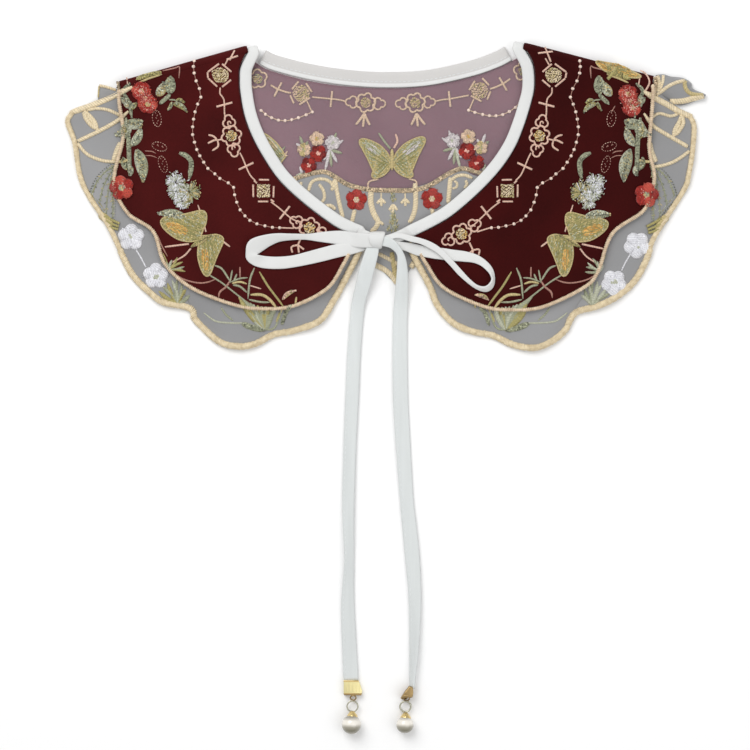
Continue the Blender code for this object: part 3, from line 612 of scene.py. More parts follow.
def makeWrapTree():
    # satin stitch: a padded core with a thread laid over it every pitch
    tree, entry, out = geometryTree("satinWrap", (("Width", "NodeSocketFloat", 3 * mm), ("Height", "NodeSocketFloat", 2 * mm),
                                                  ("Pitch", "NodeSocketFloat", 0.5 * mm), ("Material", "NodeSocketMaterial", None)))
    link = tree.links.new
    line = nodeIn(tree, "GeometryNodeMeshToCurve")
    link(entry.outputs["Path"], line.inputs[0])
    steps = nodeIn(tree, "GeometryNodeResampleCurve", mode="LENGTH")
    link(line.outputs[0], steps.inputs["Curve"])
    link(entry.outputs["Pitch"], steps.inputs["Length"])
    half = nodeIn(tree, "ShaderNodeMath", operation="MULTIPLY")
    half.inputs[1].default_value = 0.5
    link(entry.outputs["Width"], half.inputs[0])
    squash = nodeIn(tree, "ShaderNodeMath", operation="DIVIDE")
    link(entry.outputs["Height"], squash.inputs[0])
    link(half.outputs[0], squash.inputs[1])
    arc = nodeIn(tree, "GeometryNodeCurveArc", mode="RADIUS")
    arc.inputs["Resolution"].default_value = 7
    arc.inputs["Start Angle"].default_value = -0.25
    arc.inputs["Sweep Angle"].default_value = math.pi + 0.5
    link(half.outputs[0], arc.inputs["Radius"])
    strand = nodeIn(tree, "GeometryNodeCurvePrimitiveCircle")
    strand.inputs["Resolution"].default_value = 4
    thick = nodeIn(tree, "ShaderNodeMath", operation="MULTIPLY")
    thick.inputs[1].default_value = 0.62
    link(entry.outputs["Pitch"], thick.inputs[0])
    link(thick.outputs[0], strand.inputs["Radius"])
    thread = nodeIn(tree, "GeometryNodeCurveToMesh")
    thread.inputs["Fill Caps"].default_value = True
    link(arc.outputs[0], thread.inputs["Curve"])
    link(strand.outputs[0], thread.inputs["Profile Curve"])
    put = nodeIn(tree, "GeometryNodeInstanceOnPoints")
    link(steps.outputs[0], put.inputs["Points"])
    link(thread.outputs[0], put.inputs["Instance"])
    link(alignedToPath(tree, 0.28), put.inputs["Rotation"])
    size = nodeIn(tree, "ShaderNodeCombineXYZ")
    size.inputs[0].default_value = 1
    size.inputs[2].default_value = 1
    vary = nodeIn(tree, "FunctionNodeRandomValue", data_type="FLOAT")
    vary.inputs[2].default_value = 0.90
    vary.inputs[3].default_value = 1.06
    vary.inputs["Seed"].default_value = 7
    uneven = nodeIn(tree, "ShaderNodeMath", operation="MULTIPLY")
    link(vary.outputs[1], uneven.inputs[0])
    link(squash.outputs[0], uneven.inputs[1])
    link(vary.outputs[1], size.inputs[0])
    link(uneven.outputs[0], size.inputs[1])
    link(size.outputs[0], put.inputs["Scale"])
    real = nodeIn(tree, "GeometryNodeRealizeInstances")
    link(put.outputs[0], real.inputs[0])
    smoothed = nodeIn(tree, "GeometryNodeSetShadeSmooth")
    link(real.outputs[0], smoothed.inputs[0])
    paint = nodeIn(tree, "GeometryNodeSetMaterial")
    link(smoothed.outputs[0], paint.inputs["Geometry"])
    link(entry.outputs["Material"], paint.inputs["Material"])
    link(paint.outputs[0], out.inputs[0])
    return tree


def makeDotTree():
    # small knots of thread set along a path
    tree, entry, out = geometryTree("knotRow", (("Radius", "NodeSocketFloat", 1 * mm), ("Spacing", "NodeSocketFloat", 4 * mm),
                                                ("Material", "NodeSocketMaterial", None)))
    link = tree.links.new
    line = nodeIn(tree, "GeometryNodeMeshToCurve")
    link(entry.outputs["Path"], line.inputs[0])
    steps = nodeIn(tree, "GeometryNodeResampleCurve", mode="LENGTH")
    link(line.outputs[0], steps.inputs["Curve"])
    link(entry.outputs["Spacing"], steps.inputs["Length"])
    knot = nodeIn(tree, "GeometryNodeMeshUVSphere")
    knot.inputs["Segments"].default_value = 10
    knot.inputs["Rings"].default_value = 6
    link(entry.outputs["Radius"], knot.inputs["Radius"])
    put = nodeIn(tree, "GeometryNodeInstanceOnPoints")
    put.inputs["Scale"].default_value = (1.0, 0.62, 1.12)
    link(steps.outputs[0], put.inputs["Points"])
    link(knot.outputs[0], put.inputs["Instance"])
    link(alignedToPath(tree), put.inputs["Rotation"])
    real = nodeIn(tree, "GeometryNodeRealizeInstances")
    link(put.outputs[0], real.inputs[0])
    smoothed = nodeIn(tree, "GeometryNodeSetShadeSmooth")
    link(real.outputs[0], smoothed.inputs[0])
    paint = nodeIn(tree, "GeometryNodeSetMaterial")
    link(smoothed.outputs[0], paint.inputs["Geometry"])
    link(entry.outputs["Material"], paint.inputs["Material"])
    link(paint.outputs[0], out.inputs[0])
    return tree


def makeStitchTree():
    # a run of short straight stitches with gaps between
    tree, entry, out = geometryTree("runningStitch", (("Stitch", "NodeSocketFloat", 1.8 * mm), ("Gap", "NodeSocketFloat", 0.8 * mm),
                                                      ("Radius", "NodeSocketFloat", 0.22 * mm), ("Material", "NodeSocketMaterial", None)))
    link = tree.links.new
    line = nodeIn(tree, "GeometryNodeMeshToCurve")
    link(entry.outputs["Path"], line.inputs[0])
    whole = nodeIn(tree, "ShaderNodeMath", operation="ADD")
    link(entry.outputs["Stitch"], whole.inputs[0])
    link(entry.outputs["Gap"], whole.inputs[1])
    steps = nodeIn(tree, "GeometryNodeResampleCurve", mode="LENGTH")
    link(line.outputs[0], steps.inputs["Curve"])
    link(whole.outputs[0], steps.inputs["Length"])
    body = nodeIn(tree, "GeometryNodeMeshUVSphere")
    body.inputs["Segments"].default_value = 6
    body.inputs["Rings"].default_value = 6
    link(entry.outputs["Radius"], body.inputs["Radius"])
    stretch = nodeIn(tree, "ShaderNodeMath", operation="DIVIDE")
    link(entry.outputs["Stitch"], stretch.inputs[0])
    double = nodeIn(tree, "ShaderNodeMath", operation="MULTIPLY")
    double.inputs[1].default_value = 2
    link(entry.outputs["Radius"], double.inputs[0])
    link(double.outputs[0], stretch.inputs[1])
    size = nodeIn(tree, "ShaderNodeCombineXYZ")
    size.inputs[0].default_value = 1
    size.inputs[1].default_value = 0.7
    link(stretch.outputs[0], size.inputs[2])
    put = nodeIn(tree, "GeometryNodeInstanceOnPoints")
    link(steps.outputs[0], put.inputs["Points"])
    link(body.outputs[0], put.inputs["Instance"])
    link(alignedToPath(tree), put.inputs["Rotation"])
    link(size.outputs[0], put.inputs["Scale"])
    real = nodeIn(tree, "GeometryNodeRealizeInstances")
    link(put.outputs[0], real.inputs[0])
    smoothed = nodeIn(tree, "GeometryNodeSetShadeSmooth")
    link(real.outputs[0], smoothed.inputs[0])
    paint = nodeIn(tree, "GeometryNodeSetMaterial")
    link(smoothed.outputs[0], paint.inputs["Geometry"])
    link(entry.outputs["Material"], paint.inputs["Material"])
    link(paint.outputs[0], out.inputs[0])
    return tree


def alongPaths(name, tree, paths, slot, replaced=(), **values):
    # runs a tree over 3-D paths, then keeps its result as a plain mesh
    verts, edges = [], []
    for path in paths:
        first = len(verts)
        verts += [tuple(p) for p in path]
        edges += [(first + k, first + k + 1) for k in range(len(path) - 1)]
    guide = bpy.data.meshes.new(name + "Path")
    guide.from_pydata(verts, edges, [])
    holder = bpy.data.objects.new(name + "Path", guide)
    scene.collection.objects.link(holder)
    modifier = holder.modifiers.new("run", "NODES")
    modifier.node_group = tree
    for item in tree.interface.items_tree:
        if item.item_type == "SOCKET" and item.in_out == "INPUT" and item.name in values:
            modifier[item.identifier] = values[item.name]
    graph = bpy.context.evaluated_depsgraph_get()
    graph.update()
    mesh = bpy.data.meshes.new_from_object(holder.evaluated_get(graph))
    mesh.name = name
    bpy.data.objects.remove(holder, do_unlink=True)
    made = bpy.data.objects.new(name, mesh)
    scene.collection.objects.link(made)
    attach(made, "root")
    if replaced:
        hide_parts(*replaced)
    return made


wrapTree, dotTree, stitchTree = makeWrapTree(), makeDotTree(), makeStitchTree()


def strandMaterial(name, light, dark, gloss=0.45):
    made, tree, shader = newMaterial(name, light, gloss, Specular_IOR_Level=0.45, Sheen_Weight=0.15, Sheen_Roughness=0.3)
    broad = noiseOf(tree, 430, 2.0)
    fine = noiseOf(tree, 1600, 2.0)
    mixed = nodeIn(tree, "ShaderNodeMath", operation="MULTIPLY_ADD")
    mixed.inputs[1].default_value = 0.5
    tree.links.new(fine, mixed.inputs[0])
    tree.links.new(broad, mixed.inputs[2])
    span = nodeIn(tree, "ShaderNodeMapRange")
    span.inputs["From Min"].default_value = 0.45
    span.inputs["From Max"].default_value = 1.0
    tree.links.new(mixed.outputs[0], span.inputs[0])
    tree.links.new(shaded(tree, span.outputs[0], dark, light), shader.inputs["Base Color"])
    bumped(tree, shader, fine, 0.3, 0.08 * mm)
    return made


creamStrand = strandMaterial("creamStrand", (0.84, 0.72, 0.50), (0.56, 0.45, 0.28))
pinkStrand = strandMaterial("pinkCreamStrand", (0.84, 0.69, 0.50), (0.50, 0.37, 0.25))
whiteStrand = strandMaterial("whiteStrand", (0.78, 0.80, 0.80), (0.62, 0.65, 0.66))


def tube(name, path, widths, heights, material, replaced=(), rolls=0.0, sides=16, flatness=0.6):
    # a rounded flat section carried along a path; flatness 1 is a circle, less is squarer
    path = np.asarray(path, float)
    along = np.gradient(path, axis=0)
    along /= np.linalg.norm(along, axis=1)[:, None]
    count = len(path)
    widths, heights, rolls = (np.broadcast_to(v, count) for v in (widths, heights, rolls))
    run = np.concatenate([[0], np.cumsum(np.linalg.norm(np.diff(path, axis=0), axis=1))]) / mm
    verts, uvs, faces = [], [], []
    side = None
    for k in range(count):
        flat = np.array([-along[k][1], along[k][0], 0.0])
        if side is None or np.linalg.norm(flat) > 0.35:
            flat /= np.linalg.norm(flat)
            side = flat if side is None or flat @ side > 0 else -flat
        up = np.cross(along[k], side)
        up /= np.linalg.norm(up)
        if up[2] < 0 and abs(up[2]) > 0.2 and k == 0:
            side, up = -side, -up
        c, s = math.cos(math.radians(rolls[k])), math.sin(math.radians(rolls[k]))
        a, b = side * c + up * s, up * c - side * s
        for j in range(sides):
            angle = 2 * math.pi * j / sides
            x, y = math.cos(angle), math.sin(angle)
            x, y = math.copysign(abs(x) ** flatness, x), math.copysign(abs(y) ** flatness, y)
            verts.append(path[k] + a * widths[k] / 2 * x + b * heights[k] / 2 * y)
            uvs.append((run[k], x * widths[k] / 2 / mm))
    for k in range(count - 1):
        for j in range(sides):
            n = (j + 1) % sides
            faces.append((k * sides + j, k * sides + n, (k + 1) * sides + n, (k + 1) * sides + j))
    faces.append(tuple(range(sides))[::-1])
    faces.append(tuple((count - 1) * sides + j for j in range(sides)))
    made = newPiece(name, verts, faces, material, uvs)
    fixNormals(made)
    if replaced:
        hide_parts(*replaced)
    return made


def fixNormals(piece):
    shape = bmesh.new()
    shape.from_mesh(piece.data)
    bmesh.ops.recalc_face_normals(shape, faces=shape.faces)
    shape.to_mesh(piece.data)
    shape.free()


binding = {"width": 7.2 * mm, "height": 2.3 * mm, "backWidth": 9.2 * mm,
           "tailLeft": ((362, 234.6, 6.8), (370, 237.8, 8.0), (379, 240.4, 8.6)),
           "tailRight": ((403, 234.8, 6.8), (396, 237.6, 7.4), (387, 240.4, 7.8))}


def bindings():
    for word, side in (("Left", leftSide), ("Right", rightSide)):
        node = f"binding_{word.lower()}"
        inner, normal = foldOf(side)
        run = beside(plan(side["neck"], 120), side["sign"] * (binding["width"] / 2 + 0.55 * mm))
        run = started(run, side, collar["foldDepth"] + 0.6 * mm)
        rows = np.array([(x, y, nearTop(node, x, y) - 1.2 * mm) for x, y in run])
        for _ in range(6):
            rows[1:-1, 2] = (rows[:-2, 2] + rows[2:, 2]) / 2
        x, y, z = rows[0]
        low = 1.3 * mm
        radius = (z - low) / 2
        turn = [(x + normal[0] * radius * math.sin(a), y + normal[1] * radius * math.sin(a),
                 low + radius * (1 + math.cos(a))) for a in np.linspace(math.pi, 0, 12)[:-1]]
        tail = [(*place(a, d), z * mm) for a, d, z in binding[f"tail{word}"]]
        tail = smooth(np.vstack([rows[-2:], tail]), 14)
        path = np.vstack([turn, rows[:-2], tail])
        pinch = np.interp(np.arange(len(path)), (0, 11, 22, len(path) - 14, len(path) - 1), (0.9, 0.9, 1, 1, 0.8))
        made = tube(f"neckTape{word}", path, binding["width"] * pinch, binding["height"], tape, [node], flatness=0.7)
        edge = beside(rows, -side["sign"] * (binding["width"] / 2 - 1.0 * mm))
        seam = [(x, y, rows[k][2] + 0.92 * mm) for k, (x, y) in enumerate(edge)][4:-2]
        alongPaths(f"neckTapeSeam{word}", stitchTree, [seam], "tape", Stitch=2.0 * mm, Gap=0.7 * mm, Radius=0.2 * mm,
                   Material=whiteStrand)
    path = plan(backSide["binding"], 120)
    rows = np.column_stack([path, np.full(len(path), 1.3 * mm)])
    made = tube("neckTapeBack", rows, binding["backWidth"], 2.3 * mm, paintedShadeBackTape, ["binding_back"], flatness=0.7)
    piping = [(x, y, 2.0 * mm) for x, y in beside(rows, -binding["backWidth"] / 2 + 1.3 * mm)]
    tube("neckPipingBack", piping, 2.7 * mm, 1.0 * mm, tape, flatness=0.8, sides=12)
    ridge = beside(rows, -1.3 * mm)
    ridge = [(x, y, 2.46 * mm) for x, y in ridge][2:-2]
    alongPaths("neckTapeSeamBack", stitchTree, [ridge], "tape", Stitch=2.0 * mm, Gap=0.7 * mm, Radius=0.2 * mm,
               Material=whiteStrand)


hemCord = {"width": 3.2 * mm, "height": 1.35 * mm, "pitch": 0.92 * mm}
borderCord = {"width": 1.95 * mm, "height": 0.95 * mm, "pitch": 1.15 * mm}


def edgeCords():
    for word, side in (("Left", leftSide), ("Right", rightSide)):
        name = word.lower()
        count = 420
        edge = beside(plan(side["hem"], count), side["sign"] * hemCord["width"] / 2)
        hem = hemRows[name]
        heights = resample([(k, 0, z) for k, z in enumerate(hem[:, 2])], count)[:, 2]
        path = np.column_stack([edge, np.maximum(heights, 1.15 * mm)])
        low = [k for k in range(count) if path[k, 1] < place(0, 250)[1]]
        sides = [rows for rows in (path[:low[0] + 1], path[low[-1]:]) if len(rows) > 3]
        for part, rows, wider in (("", sides, 1.0), ("Low", [path[low[0]:low[-1] + 1]], 1.32)):
            alongPaths(f"hemStitches{part}{word}", wrapTree, rows, "cream_thread", Width=(hemCord["width"] - 0.5 * mm) * wider,
                       Height=(hemCord["height"] - 0.2 * mm) * (wider * 0.5 + 0.5), Pitch=hemCord["pitch"], Material=creamStrand)
        tube(f"hemCord{word}", path, 2.7 * mm, 1.9 * mm, creamStrand, [f"hem_cord_{name}"], flatness=0.9, sides=10)
        line = started(plan(side["border"], 300), side, collar["foldDepth"] + 1.5 * mm)
        line = beside(line, side["sign"] * 0.5 * mm)[3:-3]
        bed = np.array([max(nearTop(f"velvet_front_{name}", *(p)), nearTop(f"border_line_{name}", *p) - 1.3 * mm)
                        for p in line])
        for _ in range(8):
            bed[1:-1] = (bed[:-2] + bed[2:]) / 2
        path = np.column_stack([line, bed + 0.15 * mm])
        tube(f"borderCord{word}", path + np.array([0, 0, 0.35 * mm]), 1.5 * mm, 1.0 * mm, pinkStrand,
             [f"border_line_{name}"], flatness=0.9, sides=10)
        alongPaths(f"borderStitches{word}", wrapTree, [path], "cream_thread", Width=borderCord["width"] - 0.5 * mm,
                   Height=borderCord["height"], Pitch=borderCord["pitch"], Material=pinkStrand)


bindings()
edgeCords()
print("tape and edge cords made")


# heights over what lies below, from the finished cloth and tape
def treeFrom(pieces):
    graph = bpy.context.evaluated_depsgraph_get()
    verts, faces = [], []
    for piece in pieces:
        mesh = piece.evaluated_get(graph).to_mesh()
        first = len(verts)
        verts += [v.co.copy() for v in mesh.vertices]
        faces += [[first + i for i in p.vertices] for p in mesh.polygons]
    return BVHTree.FromPolygons(verts, faces)


clothNames = ("velvetFrontLeft", "velvetFrontRight", "organzaFrontLeft", "organzaFrontRight", "velvetBack", "organzaBack")
tapeNames = ("neckTapeLeft", "neckTapeRight", "neckTapeBack")
frontTree = treeFrom([bpy.data.objects[name] for name in clothNames])
bedTree = treeFrom([bpy.data.objects[name] for name in clothNames + tapeNames])


def borderTree(word):
    return treeFrom([bpy.data.objects[name] for name in (*clothNames, f"borderCord{word}")])


def bedAt(tree, x, y):
    height = castOn(tree, x, y)
    return 0.0 if height is None else height


def ribbon(name, rows, height, material, replaced=(), sides=16, flatness=0.5, crown=0.0):
    # rows hold the two edges of a flat tape, (x, y, z, x, y, z) in metres
    rows = np.asarray(rows, float)
    ones, others = rows[:, :3], rows[:, 3:]
    middle = (ones + others) / 2
    along = np.gradient(middle, axis=0)
    along /= np.linalg.norm(along, axis=1)[:, None]
    heights = np.broadcast_to(height, len(rows))
    run = np.concatenate([[0], np.cumsum(np.linalg.norm(np.diff(middle, axis=0), axis=1))]) / mm
    verts, uvs, faces = [], [], []
    up = np.array([0.0, 0.0, 1.0])
    for k in range(len(rows)):
        half = (others[k] - ones[k]) / 2
        wide = np.linalg.norm(half)
        side = half / wide
        rise = np.cross(along[k], side)
        rise /= np.linalg.norm(rise)
        if rise @ up < 0:
            rise = -rise
        up = rise
        for j in range(sides):
            angle = 2 * math.pi * j / sides
            x, y = math.cos(angle), math.sin(angle)
            x, y = math.copysign(abs(x) ** flatness, x), math.copysign(abs(y) ** flatness, y)
            verts.append(middle[k] + side * wide * x + rise * (heights[k] / 2 * y + crown * (1 - x * x)))
            uvs.append((run[k], x * wide / mm))
    for k in range(len(rows) - 1):
        for j in range(sides):
            n = (j + 1) % sides
            faces.append((k * sides + j, k * sides + n, (k + 1) * sides + n, (k + 1) * sides + j))
    faces.append(tuple(range(sides))[::-1])
    faces.append(tuple((len(rows) - 1) * sides + j for j in range(sides)))
    made = newPiece(name, verts, faces, material, uvs)
    fixNormals(made)
    if replaced:
        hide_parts(*replaced)
    return made


# tape edges: (across, down, height in mm) of one edge, then of the other; 0 rests on what is below
bow = {
    "height": 1.35 * mm,
    "loopLeft": ((381, 236, 9.4, 381, 247, 8.6), (368, 234, 9.2, 369, 248, 8.0), (356.2, 233, 8.6, 358, 247.6, 7.4),
                 (340.5, 230.8, 0, 339.2, 244.7, 0), (322.3, 232, 0, 319.8, 242, 0), (307.7, 233.9, 6.6, 305.3, 239.9, 0),
                 (292, 233.9, 7.6, 292, 240.2, 0), (276.2, 233.7, 8.6, 279.8, 241.8, 0), (262.9, 235.6, 9.2, 270.2, 246.2, 0),
                 (252, 239.2, 9.4, 263.5, 250.6, 0), (247.2, 244.5, 8.9, 259.8, 253.2, 0), (245.9, 252, 7.4, 257.6, 254.6, 6.8),
                 (246.6, 259.6, 0, 258.4, 255, 7.9), (254.4, 265.9, 0, 265.3, 256.2, 6.4), (266.5, 268.7, 0, 277.4, 256.8, 0),
                 (283.5, 268.9, 0, 292, 255.6, 0), (302.9, 265.9, 0, 306.5, 252, 0), (322.3, 261.7, 0, 322.3, 247.7, 0),
                 (339.2, 257.4, 0, 338, 244, 6.0), (351.4, 254.6, 5.0, 354, 244, 6.2), (363.5, 251, 5.6, 366, 244.4, 5.6),
                 (376, 247.4, 6.6, 378, 241.8, 6.6)),
    "loopRight": ((384, 236, 9.6, 384, 243.5, 9.8), (398.8, 233.4, 9.8, 396.5, 238.6, 10.4), (411.8, 236.3, 9.6, 410.5, 242.2, 10.0),
                  (421.7, 238.8, 9.0, 419.4, 244.2, 9.2), (430.9, 242.2, 8.6, 428.6, 248.4, 8.6),
                  (438.6, 246.8, 8.4, 436.6, 253.3, 8.4), (446.2, 253.3, 8.4, 443.4, 259.4, 8.2),
                  (453.9, 261.7, 7.8, 451.3, 267.4, 7.0), (461.5, 270.1, 7.2, 457.8, 274.7, 6.6),
                  (469.2, 278.6, 7.2, 465.6, 281.6, 6.4), (476.8, 285.2, 8.0, 473.8, 287.6, 6.0),
                  (483.7, 286.9, 9.0, 481.4, 291.2, 5.8), (488.3, 284.6, 9.4, 488.1, 291.4, 5.8),
                  (491.6, 279.4, 9.5, 493.3, 286.2, 5.8), (490.2, 275.2, 9.0, 494.4, 276.6, 5.9),
                  (486.8, 271, 8.0, 492.1, 268.2, 6.0), (480.6, 265.9, 6.6, 486, 260.8, 6.2), (473, 262.9, 0, 476.8, 254.8, 6.6),
                  (461.5, 261.7, 0, 465.3, 251.4, 0), (451.5, 261, 0, 453.9, 249.9, 0), (441.6, 259.8, 0, 443.2, 248.2, 0),
                  (430.9, 258.4, 0, 428.6, 247, 0), (415.6, 255.2, 5.2, 415.6, 244.1, 6.2),
                  (404.9, 251, 6.6, 404.9, 242.4, 7.2), (392, 247.6, 7.6, 392, 241.4, 8.0)),
    "knot": ((368, 233.4, 7.4, 385, 232.8, 7.0), (368, 234.4, 9.4, 385.2, 233.4, 9.6), (368.4, 237, 10.4, 384.6, 236, 11.2),
             (369, 240.6, 10.7, 383.4, 240, 11.4), (370, 244, 10.2, 382.6, 243.8, 10.6), (371.4, 246.4, 9.0, 382, 247, 9.0),
             (372.6, 247.2, 7.4, 381.6, 248, 7.0)),
}
tails = {
    "height": 1.6 * mm,
    "left": ((367.4, 246, 8.0, 378.6, 246, 8.0), (365.6, 250, 8.2, 378.9, 249, 8.6), (364.1, 254, 8.0, 378.4, 254, 8.5),
             (361, 263.5, 7.6, 376.2, 263.5, 8.2), (357.4, 275.6, 6.2, 373.2, 275.6, 6.6), (354.8, 288, 4.4, 369.8, 288, 4.8),
             (352, 300, 2.6, 366, 300, 2.6), (350.2, 315, 1.2, 363.8, 315, 1.3), (347.4, 350, 1.1, 361, 350, 1.2),
             (345.2, 400, 1.1, 358.6, 400, 1.5), (343.4, 450, 1.1, 356, 450, 1.9), (342.2, 500, 1.2, 354.4, 500, 2.3),
             (343, 530, 2.0, 354, 530, 2.2), (344.4, 560, 2.7, 354.2, 560, 1.1), (342.6, 585, 1.9, 354, 585, 1.1),
             (341.2, 606, 1.3, 354.4, 606, 1.2), (341.6, 630, 1.1, 355.6, 630, 1.3), (342.4, 652, 1.1, 356.7, 652, 1.5),
             (343.2, 670, 1.3, 357.8, 670, 1.7), (344, 681.2, 1.7, 358, 680.2, 1.9)),
    "right": ((382.6, 236.4, 10.3, 382.4, 246.4, 10.0), (389, 237.4, 11.0, 388, 247.6, 9.6), (394.4, 240.8, 11.2, 391.4, 249, 9.0),
              (399, 246, 10.9, 395.6, 252.6, 8.8), (403, 252.2, 9.9, 397.3, 257.4, 9.2), (405.9, 259.4, 8.6, 397.2, 262.8, 8.8),
              (407.6, 269, 7.2, 396.8, 270.4, 7.4), (408.2, 280, 5.9, 396, 280.4, 6.1), (408.2, 300, 2.6, 394.4, 300, 2.6),
              (407.6, 315, 1.3, 393.2, 315, 1.3), (407.4, 350, 1.1, 392.6, 350, 1.3), (408.2, 400, 1.1, 393.2, 400, 1.7),
              (410.8, 450, 1.1, 396.2, 450, 1.6), (413.6, 500, 1.4, 400, 500, 1.2), (417, 530, 1.8, 402.6, 530, 1.1),
              (419.8, 560, 2.0, 405.4, 560, 1.1), (421, 585, 2.4, 407.8, 585, 1.1), (421, 606, 2.9, 409, 606, 1.1),
              (419.8, 630, 3.8, 409.6, 630, 1.0), (418.2, 652, 4.8, 409.8, 652, 1.0), (416.2, 668, 5.2, 409.8, 668, 1.0),
              (414.6, 681.4, 5.4, 409.6, 681.4, 1.4), (414.1, 688.4, 5.8, 410.4, 688.4, 2.4)),
}


def tapeRows(table, count, height):
    rows = smooth([(*place(a, d), z * mm, *place(c, e), w * mm) for a, d, z, c, e, w in table], count)
    for k in range(count):
        for first in (0, 3):
            x, y = rows[k, first:first + 2]
            inward = (rows[k, 3 - first:5 - first] - rows[k, first:first + 2]) * 0.12
            low = max(bedAt(bedTree, x, y), bedAt(bedTree, *(np.array((x, y)) + inward)), 0.05 * mm)
            rows[k, first + 2] = max(rows[k, first + 2], low + height / 2 + 0.12 * mm)
        x, y = (rows[k, :2] + rows[k, 3:5]) / 2
        short = bedAt(bedTree, x, y) + height / 2 + 0.12 * mm - (rows[k, 2] + rows[k, 5]) / 2
        if short > 0:
            rows[k, 2] += short
            rows[k, 5] += short
    for _ in range(4):
        rows[1:-1, [2, 5]] = (rows[:-2, [2, 5]] + 2 * rows[1:-1, [2, 5]] + rows[2:, [2, 5]]) / 4
    return rows


def alongEdge(rows, share, lift):
    # a line on the tape's upper face, from one edge (0) to the other (1)
    return [tuple(row[:3] * (1 - share) + row[3:] * share + np.array((0, 0, lift))) for row in rows]


def bowAndTies():
    height = bow["height"]
    for word, count in (("Left", 110), ("Right", 110)):
        rows = tapeRows(bow[f"loop{word}"], count, height)
        made = ribbon(f"bowLoop{word}", rows, height, tape, [f"bow_loop_{word.lower()}"])
    rows = smooth([(*place(a, d), z * mm, *place(c, e), w * mm) for a, d, z, c, e, w in bow["knot"]], 26)
    made = ribbon("bowKnot", rows, 1.4 * mm, tape, ["bow_knot"], crown=0.35 * mm)
    cords = {}
    for word, count in (("left", 130), ("right", 140)):
        height = tails["height"]
        rows = tapeRows(tails[word], count, height)
        made = ribbon(f"tie{word.title()}", rows, height, tieTape, [f"tie_{word}"], flatness=0.45)
        middle = (rows[:, :3] + rows[:, 3:]) / 2
        cords[word] = (made, middle)
        inner = 0.16 if word == "left" else 0.84
        seam = alongEdge(rows[6:-1], inner, height / 2 - 0.02 * mm)
        alongPaths(f"tieSeam{word.title()}", stitchTree, [seam], "tape", Stitch=2.1 * mm, Gap=0.9 * mm, Radius=0.16 * mm,
                   Material=whiteStrand)
    return cords


def boxPiece(name, centre, size, turn, material, slot, replaced, bevel=0.4 * mm, taper=1.0):
    shape = bmesh.new()
    bmesh.ops.create_cube(shape, size=1)
    c, s = math.cos(turn), math.sin(turn)
    for corner in shape.verts:
        x, y, z = corner.co
        x *= size[0] * (taper if y > 0 else 1.0)
        y *= size[1]
        corner.co = (centre[0] + x * c - y * s, centre[1] + x * s + y * c, centre[2] + z * size[2])
    bmesh.ops.bevel(shape, geom=shape.edges[:], offset=bevel, segments=3, affect="EDGES", profile=0.6)
    mesh = bpy.data.meshes.new(name)
    shape.to_mesh(mesh)
    shape.free()
    mesh.materials.append(material)
    mesh.polygons.foreach_set("use_smooth", [True] * len(mesh.polygons))
    made = bpy.data.objects.new(name, mesh)
    scene.collection.objects.link(made)
    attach(made, "root")
    if replaced:
        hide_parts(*replaced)
    return made


def lathe(name, profile, foot, axis, material, replaced, sides=40, petals=0, ruffle=0.0):
    # profile rows are (distance along the axis, radius), both ends closed at the axis
    axis = np.array(axis, float)
    axis /= np.linalg.norm(axis)
    one = np.cross(axis, (0, 0, 1.0))
    one /= np.linalg.norm(one)
    two = np.cross(axis, one)
    verts, faces = [np.array(foot) + axis * profile[0][0]], []
    for far, radius in profile[1:-1]:
        for j in range(sides):
            angle = 2 * math.pi * j / sides
            wave = 1 + ruffle * math.cos(petals * angle) * far / profile[-1][0]
            verts.append(np.array(foot) + axis * far + radius * wave * (one * math.cos(angle) + two * math.sin(angle)))
    verts.append(np.array(foot) + axis * profile[-1][0])
    count = len(profile) - 2
    for j in range(sides):
        n = (j + 1) % sides
        faces.append((0, 1 + j, 1 + n))
        for k in range(count - 1):
            first = 1 + k * sides
            faces.append((first + j, first + sides + j, first + sides + n, first + n))
        last = 1 + (count - 1) * sides
        faces.append((last + j, len(verts) - 1, last + n))
    made = newPiece(name, verts, faces, material)
    fixNormals(made)
    if replaced:
        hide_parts(*replaced)
    return made


def wireRing(name, centre, radius, wire, tilt, material, replaced=(), open=0.0):
    shape = []
    for k in range(49):
        angle = 2 * math.pi * (k / 48 * (1 - open)) + 0.6
        x, y = radius * math.cos(angle), radius * math.sin(angle)
        shape.append((centre[0] + x, centre[1] + y * math.cos(tilt), centre[2] + y * math.sin(tilt)))
    return tube(name, shape, 2 * wire, 2 * wire, material, replaced, sides=12, flatness=1.0)


drops = {
    "left": {"ring": (352.5, 706.6), "cap": 352.2, "pearl": (351.4, 724.2), "radius": 5.75 * mm, "link": (353.2, 698.0)},
    "right": {"ring": (405.5, 706.8), "cap": 405.5, "pearl": (404.9, 724.8), "radius": 5.2 * mm, "link": (406.6, 698.6)},
}


def plate(name, corners, low, high, material, replaced, bevel=0.35 * mm):
    # a flat bevelled plate from its plan corners, in picture places
    shape = bmesh.new()
    rings = [[shape.verts.new((*place(*spot), z)) for spot in corners] for z in (low, high)]
    shape.faces.new(rings[0][::-1])
    shape.faces.new(rings[1])
    for j in range(len(corners)):
        n = (j + 1) % len(corners)
        shape.faces.new((rings[0][j], rings[0][n], rings[1][n], rings[1][j]))
    bmesh.ops.recalc_face_normals(shape, faces=shape.faces[:])
    bmesh.ops.bevel(shape, geom=shape.edges[:], offset=bevel, segments=3, affect="EDGES", profile=0.6)
    mesh = bpy.data.meshes.new(name)
    shape.to_mesh(mesh)
    shape.free()
    mesh.materials.append(material)
    mesh.polygons.foreach_set("use_smooth", [True] * len(mesh.polygons))
    made = bpy.data.objects.new(name, mesh)
    scene.collection.objects.link(made)
    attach(made, "root")
    if replaced:
        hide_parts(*replaced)
    return made


